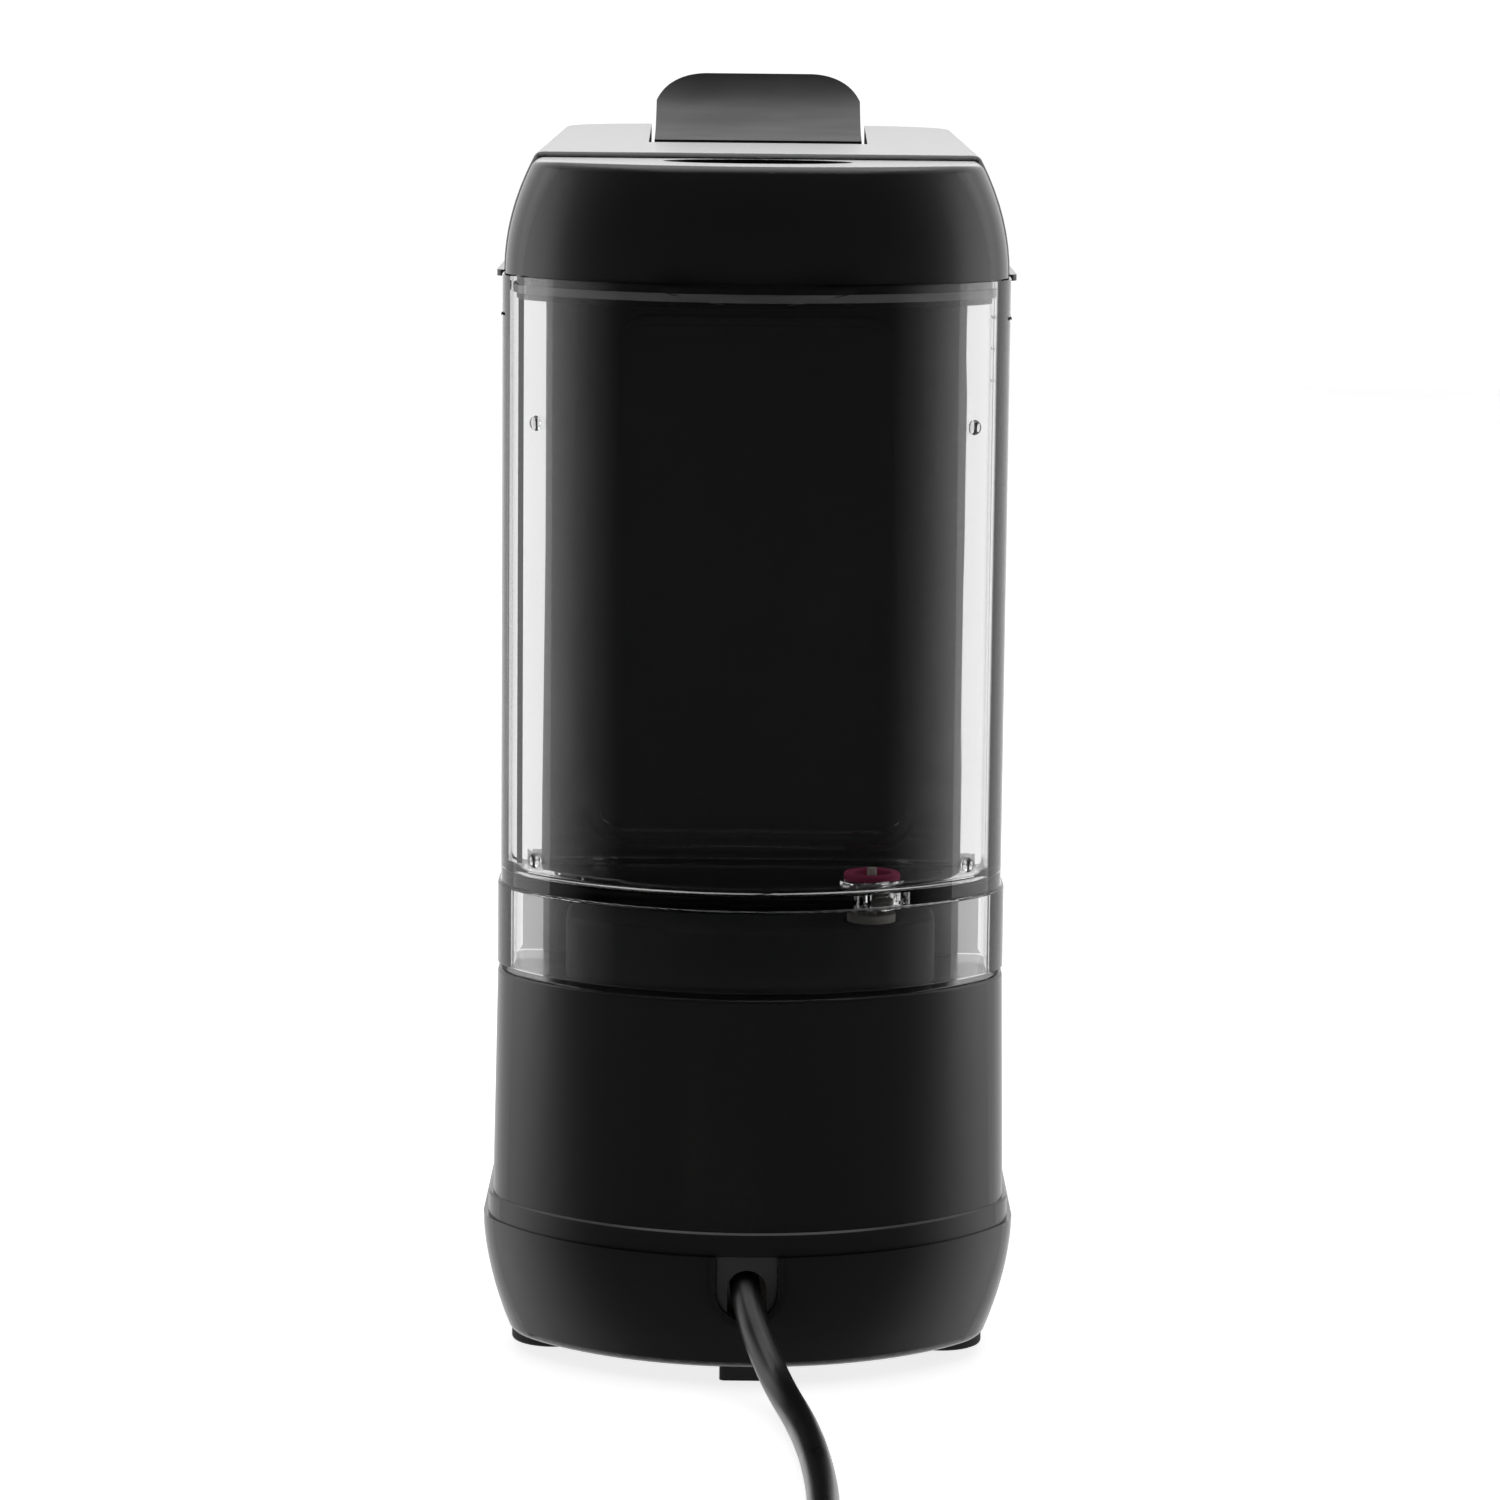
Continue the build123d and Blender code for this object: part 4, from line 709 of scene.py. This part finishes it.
@dataclass
class MainsLead(SubAssembly):
    """Mains lead: it hangs out of its arch, lies back on the table and ends in a tied coil.

    Attributes:
        radius: Half the sheath's diameter.
        route: The lead's line from its clamp to the coil.
        coil_radius: Control radius of the two stacked turns.
        turn_step: From the stacked turns out to the last one.
        coil_start_radius: Real radius of the stacked turns' centreline.
        points_per_turn: Control points in each turn.
        plug_level: Height of the plug's axis.
        relief_lead: From the coil's centre to the start of the strain relief.
        relief_wall: Thickness of the strain relief where it starts.
        relief_radius: Half its width where it meets the plug.
        stack_rise: Height of the upper turn's centreline, in sheath radii.
        touch: Gap left between pieces that lie against each other.
        length: Length of the whole lead; not used.
    """

    title: str = "mains lead"
    radius: float = 0.0038
    length: float = 0.82
    route: tuple[tuple[float, float, float], ...] = (
        (0.0009, 0.1395, 0.0310),
        (0.0008, 0.1495, 0.0269),
        (-0.0009, 0.1575, 0.0209),
        (-0.0043, 0.1655, 0.0136),
        (-0.0086, 0.1755, 0.0069),
        (-0.0136, 0.1935, 0.0038),
        (-0.0169, 0.2255, 0.0039),
        (-0.0183, 0.2595, 0.0038),
        (-0.0176, 0.3015, 0.0039),
    )
    coil_start: tuple[float, float] = (-0.018, 0.3455)
    turn_radius: float = 0.0386
    coil_radius: float = 0.0400
    turn_step: float = 0.0080
    points_per_turn: int = 12
    plug_level: float = 0.0114
    relief_lead: float = 0.024
    relief_length: float = 0.026
    plug_half: float = 0.0125
    relief_ribs: int = 5
    relief_wall: float = 0.0006
    relief_radius: float = 0.006
    first_rib: float = 0.002
    rib_depth: float = 0.0008
    finger_grooves: int = 4
    first_groove: float = 0.0095
    groove_pitch: float = 0.0028
    stack_rise: float = 3.1
    touch: float = 0.0001
    strap_width: float = 0.011
    strap_thickness: float = 0.0008
    finishes: dict[str, Finish] = field(default_factory=lambda: {"plug_pins": NICKELLED_BRASS})

    def centre(self) -> Vector:
        """Centre of the coil on the table."""
        return Vector((self.coil_start[0] + self.turn_radius, self.coil_start[1], 0.0))

    def turn_place(self, step: int) -> tuple[float, float]:
        """Radius and height of one control point of the coil.

        Args:
            step: Its number, counted from where the lead joins the coil.

        Returns:
            Control radius and height of the centreline.
        """
        low, high = self.radius, self.stack_rise * self.radius
        turn = self.points_per_turn
        climb = (turn - 2, turn)  # over the last part of the first turn
        leave = 2 * turn - 1  # the second turn swings out across the incoming lead
        if step <= climb[0]:
            return self.coil_radius, low
        if step < climb[1]:
            return self.coil_radius, (low + high) / 2
        if step < leave:
            return self.coil_radius, high
        outer = self.coil_radius + self.turn_step
        if step == leave:
            return outer, high
        return outer, low + (high - low) * max(0.0, 1 - (step - leave) / 2)

    def coil_points(self) -> list[Vector]:
        """Control points of two stacked turns and a quarter turn beside them."""
        centre = self.centre()
        points = []
        for step in range(2 * self.points_per_turn + self.points_per_turn // 4 + 1):
            radius, height = self.turn_place(step)
            angle = math.pi - 2 * math.pi * step / self.points_per_turn
            points.append(
                centre + Vector((radius * math.cos(angle), radius * math.sin(angle), height))
            )
        return points

    def build_lead(self) -> bpy.types.Object:
        """Lay the lead as one smooth curve, with its coil in the same line."""
        points = [Vector(p) for p in self.route] + self.coil_points()
        last = points[-1]
        for along, rise in ((0.012, 0.35), (0.024, 1.0), (0.034, 1.0)):
            height = self.radius + (self.plug_level - self.radius) * rise
            points.append(Vector((last.x + along, last.y, height)))
        curve = bpy.data.curves.new("mains_lead", "CURVE")
        curve.dimensions = "3D"
        curve.bevel_depth = self.radius
        curve.bevel_resolution = 8
        curve.resolution_u = 8
        curve.use_fill_caps = True
        spline = curve.splines.new("NURBS")
        spline.points.add(len(points) - 1)
        for point, place in zip(spline.points, points):
            point.co = (*place, 1.0)
        spline.order_u = 3
        spline.use_endpoint_u = True
        lead = new_piece("mains_lead", curve, PVC_SHEATH, Body.HOUSING)
        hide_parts("power_cord", "cord_coil")
        return lead

    def relief_rings(self) -> Iterable[tuple[float, float, float, float]]:
        """Rings of the ribbed strain relief: place along it, two half widths and a power."""
        slim = self.radius + self.relief_wall
        close = self.radius + self.touch
        yield 0.0, close, close, ROUND
        yield 0.0003, slim, slim, ROUND
        pitch = self.relief_length / (self.relief_ribs + 1)
        for rib in range(self.relief_ribs):
            at = self.first_rib + rib * pitch
            grow = slim + (self.relief_radius - slim) * (rib + 0.5) / self.relief_ribs
            for along, radius in (
                (0.0, grow - self.touch),
                (0.0002, grow),
                (0.55 * pitch, grow + 0.0002),
                (0.58 * pitch, grow - self.rib_depth),
                (0.85 * pitch, grow - self.rib_depth),
                (0.88 * pitch, grow),
            ):
                yield at + along, radius, radius, ROUND

    def grip_rings(self) -> Iterable[tuple[float, float, float, float]]:
        """Rings of the plug's body, which swells, is grooved for the fingers and ends flat."""
        body = self.relief_length
        half = self.plug_half
        tall = self.plug_level - 2 * self.touch
        swell = (
            (-0.0012, 0.56, 2.2), (0.0, 0.62, 2.4), (0.0015, 0.76, 2.7), (0.004, 0.9, 3.1),
            (0.0065, 0.965, 3.5), (0.0085, 0.985, 3.8),
        )
        end = ((0.0215, 1.0, 4.4), (0.0248, 1.0, 4.6), (0.0256, 0.985, 4.6), (0.026, 0.94, 4.6))
        for along, share, power in swell:
            yield body + along, half * share, tall * share, power
        for groove in range(self.finger_grooves):
            at = body + self.first_groove + groove * self.groove_pitch
            for offset, dip in ((0.0, 1.0), (0.0004, 0.955), (0.0012, 0.955), (0.0016, 1.0)):
                yield at + offset, half * (0.5 + 0.5 * dip), tall * dip, 4.2
        for along, share, power in end:
            yield body + along, half * share, tall * share, power

    def build_plug(self) -> bpy.types.Object:
        """Mould the plug with its ribbed strain relief."""
        centre = self.centre()
        start = Vector((centre.x + self.relief_lead, self.plug_y(), self.plug_level))
        rings = [
            [start + Vector((along, y, z)) for y, z in rounded_ring(half, tall, power, 56)]
            for part in (self.relief_rings(), self.grip_rings())
            for along, half, tall, power in part
        ]
        bm = bmesh.new()
        skin(bm, rings)
        mesh = mesh_from(bm, "mains_plug", 40.0)
        plug = new_piece("mains_plug", mesh, PVC_SHEATH, Body.HOUSING)
        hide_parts("plug_body")
        return plug

    def plug_y(self) -> float:
        """Where the plug lies, beside the coil."""
        low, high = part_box("plug_body")
        return (low.y + high.y) / 2

    def build_strap(self) -> bpy.types.Object:
        """Wrap a woven strap round the two stacked turns, with its free end on top."""
        centre = self.centre()
        across = centre.x + self.turn_radius
        hug = self.radius + self.touch
        high = self.stack_rise * self.radius
        path = []
        for step in range(13):
            turn = math.pi * step / 12
            path.append((hug * math.cos(turn), high + hug * math.sin(turn)))
        path.append((-hug, self.radius + 0.001))
        for step in range(1, 12):
            turn = math.pi + math.pi * step / 12
            sag = (self.radius - 2 * self.touch) * math.sin(turn)
            path.append((hug * math.cos(turn), self.radius + 4 * self.touch + sag))
        path.append((hug, self.radius + 0.001))
        rings = []
        thick = self.strap_thickness
        middle = (self.radius + high) / 2
        for x, z in path:
            out = Vector((x, 0.0, (z - middle) * 0.45)).normalized()
            inner = Vector((across + x, centre.y, z))
            outer = inner + out * thick
            outer.z = max(outer.z, 0.0001)
            inner.z = max(inner.z, 0.0001)
            side = Vector((0.0, self.strap_width / 2, 0.0))
            rings.append([inner - side, inner + side, outer + side, outer - side])
        bm = bmesh.new()
        skin(bm, rings, closed=True)
        tail = []
        for along, lift in ((0.0, 0.0), (0.004, 0.0005), (0.009, 0.0), (0.0135, -0.0022)):
            base = Vector((across + 0.0005 - along, centre.y, high + hug + thick + lift * 0.4))
            base.z -= max(0.0, along - 0.003) * 0.35
            side = Vector((0.0, self.strap_width / 2 - 0.0003, 0.0))
            up = Vector((0.0, 0.0, thick))
            tail.append([base - side, base + side, base + side + up, base - side + up])
        skin(bm, tail)
        mesh = mesh_from(bm, "coil_strap", 50.0)
        strap = new_piece("coil_strap", mesh, WOVEN_NYLON, Body.HOUSING)
        bevel = strap.modifiers.new("soft_edges", "BEVEL")
        bevel.width = 0.0002
        bevel.segments = 2
        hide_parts("cord_tie")
        return strap

    def build(self) -> None:
        """Lay the lead, mould its plug and tie its coil."""
        lead = self.build_lead()
        plug = self.build_plug()
        strap = self.build_strap()
        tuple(self.route[0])


# ------------------------------------------------------------------ studio
@dataclass
class Studio:
    """Pale floor, white surround, soft lights and the camera behind the machine.

    Attributes:
        camera_place: Where the camera stands.
        camera_tilt: How far its view is pitched up from straight down, in degrees.
        camera_roll: Its roll, in degrees.
        lens: Focal length in millimetres on a 36 mm sensor.
    """

    camera_place: tuple[float, float, float] = (0.00055, 1.4015, 0.3535)
    camera_tilt: float = 81.3
    camera_roll: float = 0.57
    lens: float = 123.6
    floor_size: float = 6.0
    seen_white: float = 1.05
    through_white: float = 1.0
    through_dark: float = 0.05
    surround: float = 1.15
    surround_dark: float = 0.004
    ambient: float = 0.02

    def build(self) -> None:
        """Set up the whole studio."""
        self.add_camera()
        self.add_floor()
        self.add_surround()
        bpy.context.scene.view_settings.view_transform = "Standard"
        softboxes = (
            ("top_softbox", (0.0, 0.0, 2.2), (0.0, 0.0, 0.0), (2.4, 2.0), 20.0),
            ("left_softbox", (0.95, -0.05, 0.35), (0.0, 0.05, 0.2), (0.5, 0.9), 1.2),
            ("right_softbox", (-0.95, -0.05, 0.35), (0.0, 0.05, 0.2), (0.5, 0.9), 1.2),
            ("front_fill", (0.0, -1.3, 0.9), (0.0, 0.0, 0.15), (0.9, 0.7), 3.0),
        )
        for name, place, aim, size, power in softboxes:
            self.add_softbox(name, place, aim, size, power)

    def add_camera(self) -> None:
        """Stand the camera behind the machine."""
        data = bpy.data.cameras.new("camera")
        data.lens = self.lens
        data.sensor_width = 36.0
        data.clip_start = 0.02
        camera = bpy.data.objects.new("camera", data)
        bpy.context.scene.collection.objects.link(camera)
        camera.matrix_world = (
            Matrix.Translation(self.camera_place)
            @ Matrix.Rotation(math.pi, 4, "Z")
            @ Matrix.Rotation(math.radians(self.camera_tilt), 4, "X")
            @ Matrix.Rotation(math.radians(self.camera_roll), 4, "Z")
        )
        bpy.context.scene.camera = camera

    def add_floor(self) -> None:
        """Lay a plain pale floor."""
        bm = bmesh.new()
        bmesh.ops.create_grid(bm, x_segments=4, y_segments=4, size=self.floor_size / 2)
        mesh = bpy.data.meshes.new("studio_floor")
        bm.to_mesh(mesh)
        bm.free()
        mesh.materials.append(OPAL_ACRYLIC.material())
        floor = bpy.data.objects.new("studio_floor", mesh)
        bpy.context.scene.collection.objects.link(floor)
        floor.visible_glossy = False  # a polished face shows the dark studio, not the table
        floor.visible_transmission = False

    def add_surround(self) -> None:
        """Hang a white surround that is bright beyond the machine and dark behind the camera."""
        world = bpy.data.worlds.new("studio_surround")
        world.use_nodes = True
        tree = world.node_tree
        tree.nodes.clear()
        way = add_node(tree, "ShaderNodeTexCoord").outputs["Generated"]
        split = add_node(tree, "ShaderNodeSeparateXYZ", {0: way})
        rays = add_node(tree, "ShaderNodeLightPath")

        reflected = add_node(
            tree,
            "ShaderNodeMapRange",
            {0: split.outputs[1], 1: -0.45, 2: 0.45, 3: self.surround, 4: self.surround_dark},
            interpolation_type="SMOOTHSTEP",
        ).outputs[0]
        through = add_node(
            tree,
            "ShaderNodeMapRange",
            {0: split.outputs[1], 1: 0.1, 2: 0.6, 3: self.through_white, 4: self.through_dark},
        ).outputs[0]
        passed = rays.outputs["Is Transmission Ray"]
        seen = rays.outputs["Is Camera Ray"]
        spread = rays.outputs["Is Diffuse Ray"]
        strength = reflected
        for kind, brightness in (
            (passed, through), (spread, self.ambient), (seen, self.seen_white)
        ):
            choice = {0: kind, 2: strength, 3: brightness}
            strength = add_node(tree, "ShaderNodeMix", choice).outputs[0]
        background = add_node(
            tree, "ShaderNodeBackground", {"Color": linear("#ffffff"), "Strength": strength}
        )
        add_node(tree, "ShaderNodeOutputWorld", {"Surface": background.outputs[0]})
        world.cycles.sampling_method = "NONE"  # keeps each kind of ray to its own brightness
        bpy.context.scene.world = world

    def add_softbox(
        self,
        name: str,
        place: tuple[float, float, float],
        aim: tuple[float, float, float],
        size: tuple[float, float],
        power: float,
    ) -> None:
        """Stand one soft light, turned towards a point.

        Args:
            name: The light's name.
            place: Where it stands.
            aim: The point it faces.
            size: Its width and height.
            power: Its power in watts.
        """
        data = bpy.data.lights.new(name, "AREA")
        data.shape = "RECTANGLE"
        data.size, data.size_y = size
        data.energy = power
        light = bpy.data.objects.new(name, data)
        bpy.context.scene.collection.objects.link(light)
        light.location = place
        direction = Vector(aim) - Vector(place)
        light.rotation_euler = direction.to_track_quat("-Z", "Y").to_euler()
        light.visible_camera = False


def main() -> None:
    """Build the studio, the lead and every other part of the machine in order."""
    logging.basicConfig(level=logging.INFO, format="%(message)s")
    Studio().build()
    parts: Iterable[SubAssembly] = (
        MainsLead(),
        BottomPan(),
        LowerHousing(),
        WaterTank(),
        TankLid(),
        Column(),
        Head(),
        BrewLever(),
        BrewUnit(),
        Controls(),
    )
    for part in parts:
        part.build()
        part.dress()


if __name__ == "__main__":
    main()
